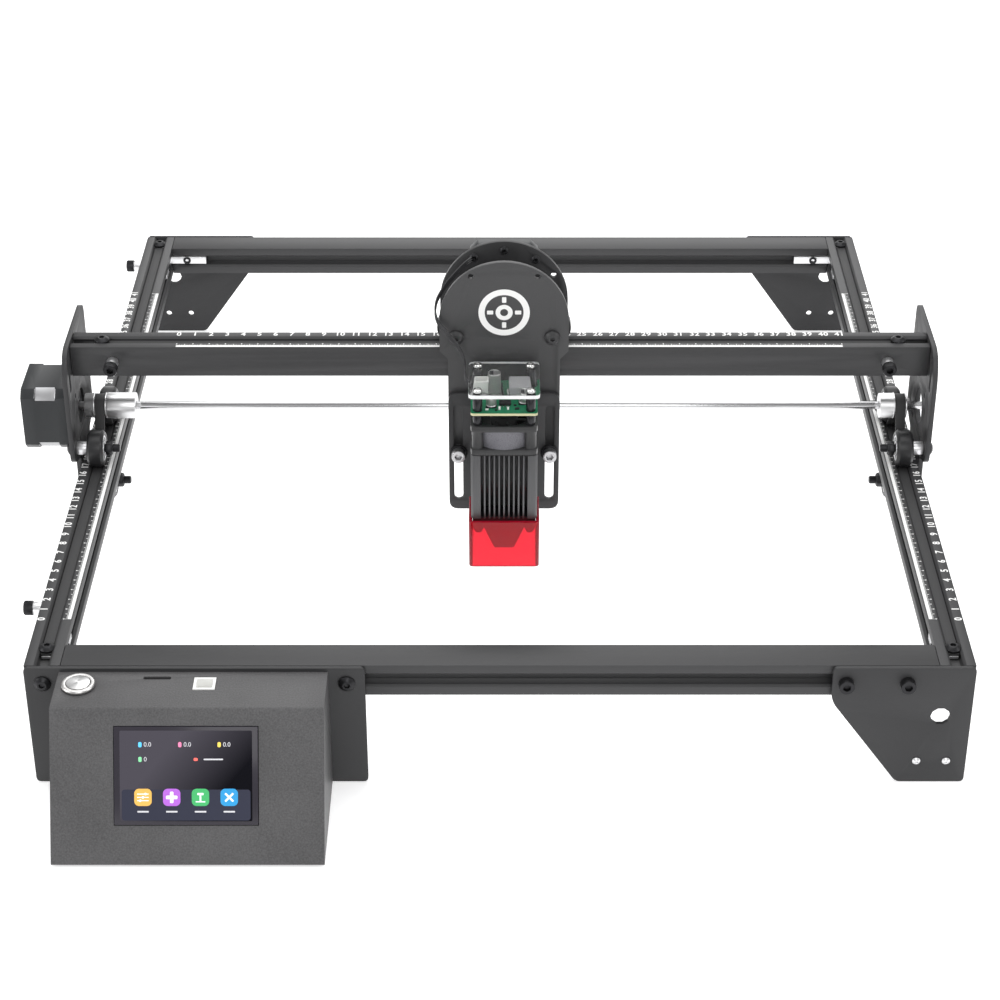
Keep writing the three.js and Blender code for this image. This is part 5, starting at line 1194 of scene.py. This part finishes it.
# ---- Clear cover ----
# A sheet of clear acrylic, laser cut and so polished at its edges, is screwed down on the posts.


def clear(name, colour, roughness, ior, passed):
    """A clear sheet. passed is how much light goes through it, and a fine haze varies its gloss."""
    finish = surface(name, colour, roughness, 0, 0.004, 0.0000005, 0.02)
    shader = finish.node_tree.nodes["Principled BSDF"]
    shader.inputs["Transmission Weight"].default_value = passed
    shader.inputs["IOR"].default_value = ior
    return finish


clear_acrylic = clear("clear acrylic", (0.98, 0.99, 0.99), 0.03, 1.16, 0.98)
# The cut edges get a nearly opaque white copy of the acrylic: a painted highlight for the light they catch.
edge_painted_highlight = clear("acrylic edge with painted highlight", (0.97, 0.98, 0.98), 0.2, 1.3, 0.15)
cover = machined("clear_cover", clear_acrylic, 0.0001)
dressed(cover, edge_painted_highlight, lambda middle, normal: abs(normal.z) < 0.5)

# ---- Nozzle ----
# The black lens housing under the heat sink, stepped and tapered to the beam's opening.
nozzle_black = surface("nozzle anodising", (0.024, 0.022, 0.026), 0.4, 0.3, 0.0005, 0.000008, 0.15)
machined("laser_nozzle", nozzle_black, 0.0004)

# ---- Shield ----
# Translucent red acrylic, folded round the nozzle on three sides, keeps the beam from the eyes.
red_acrylic = clear("red acrylic", (0.9, 0.012, 0.035), 0.08, 1.38, 0.8)
# The side walls and the cut edges get a darker, less clear copy of the red: painted shade.
red_painted_shade = clear("red acrylic with painted shade", (0.32, 0.004, 0.02), 0.15, 1.38, 0.3)
shield = machined("red_shield", red_acrylic, 0.0003)
dressed(shield, red_painted_shade, lambda middle, normal: abs(normal.z) > 0.5 or abs(normal.x) > 0.7)

# ---- Laser lead ----
# Three glossy black wires, clipped to the back of the front disc and pushed into the driver
# board's plug.
lead_black = surface("glossy wire sleeve", (0.03, 0.03, 0.032), 0.1, 0, 0.0008, 0.000004, 0.15)
drive_low, drive_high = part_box("drive_shaft")
lead_origin = Vector((disc_x, (drive_low.y + drive_high.y) / 2, rail_top))
LEAD_ROUTE = (
    (-0.0186, 0.0014, 0.1276), (-0.0225, -0.0026, 0.1264), (-0.0300, -0.0085, 0.1210),
    (-0.0378, -0.0160, 0.1135), (-0.0416, -0.0230, 0.1068), (-0.0404, -0.0290, 0.0995),
    (-0.0350, -0.0324, 0.0935), (-0.0295, -0.0338, 0.0870), (-0.0256, -0.0344, 0.0800),
    (-0.0239, -0.0360, 0.0735), (-0.0237, -0.0394, 0.0675), (-0.0216, -0.0422, 0.0640),
    (-0.0184, -0.0429, 0.0634),
)
WIRE = 0.0012
APART = 1.05
for number in range(3):
    above = Vector((0, 0, (number - 1) * APART * WIRE))
    points = [lead_origin + Vector(point) + above for point in LEAD_ROUTE]
    bpy.ops.object.select_all(action="DESELECT")
    bpy.ops.curve.primitive_bezier_curve_add(radius=0.001)
    wire = bpy.context.object
    shape_on()
    bpy.ops.curve.select_all(action="SELECT")
    bpy.ops.curve.delete(type="VERT")
    bpy.ops.curve.vertex_add(location=points[0])
    for point in points[1:]:
        bpy.ops.curve.extrude_move()
        wire.data.splines[0].bezier_points[-1].co = point
    bpy.ops.curve.select_all(action="SELECT")
    bpy.ops.curve.handle_type_set(type="AUTOMATIC")
    shape_off()
    wire.location = (0, 0, 0)
    wire.data.resolution_u = 10
    bpy.ops.object.duplicate()
    line = bpy.context.object
    bpy.ops.object.convert(target="MESH")
    bpy.data.objects.remove(line)
    only(wire)
    wire.data.bevel_depth = WIRE / 2
    wire.data.bevel_resolution = 4
    wire.data.use_fill_caps = True
    bpy.ops.object.convert(target="MESH")
    bpy.ops.object.shade_smooth_by_angle(angle=math.radians(50))
    wire.name = f"laser_wire_{number + 1}"
    wire.data.name = wire.name
    wire.data.materials.append(lead_black)
    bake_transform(wire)
    if number == 0:
        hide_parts("laser_lead")

for pattern in (button_head, bright_button, cap_head, small_cap, small_button, clamp_cap):
    bpy.data.objects.remove(pattern)
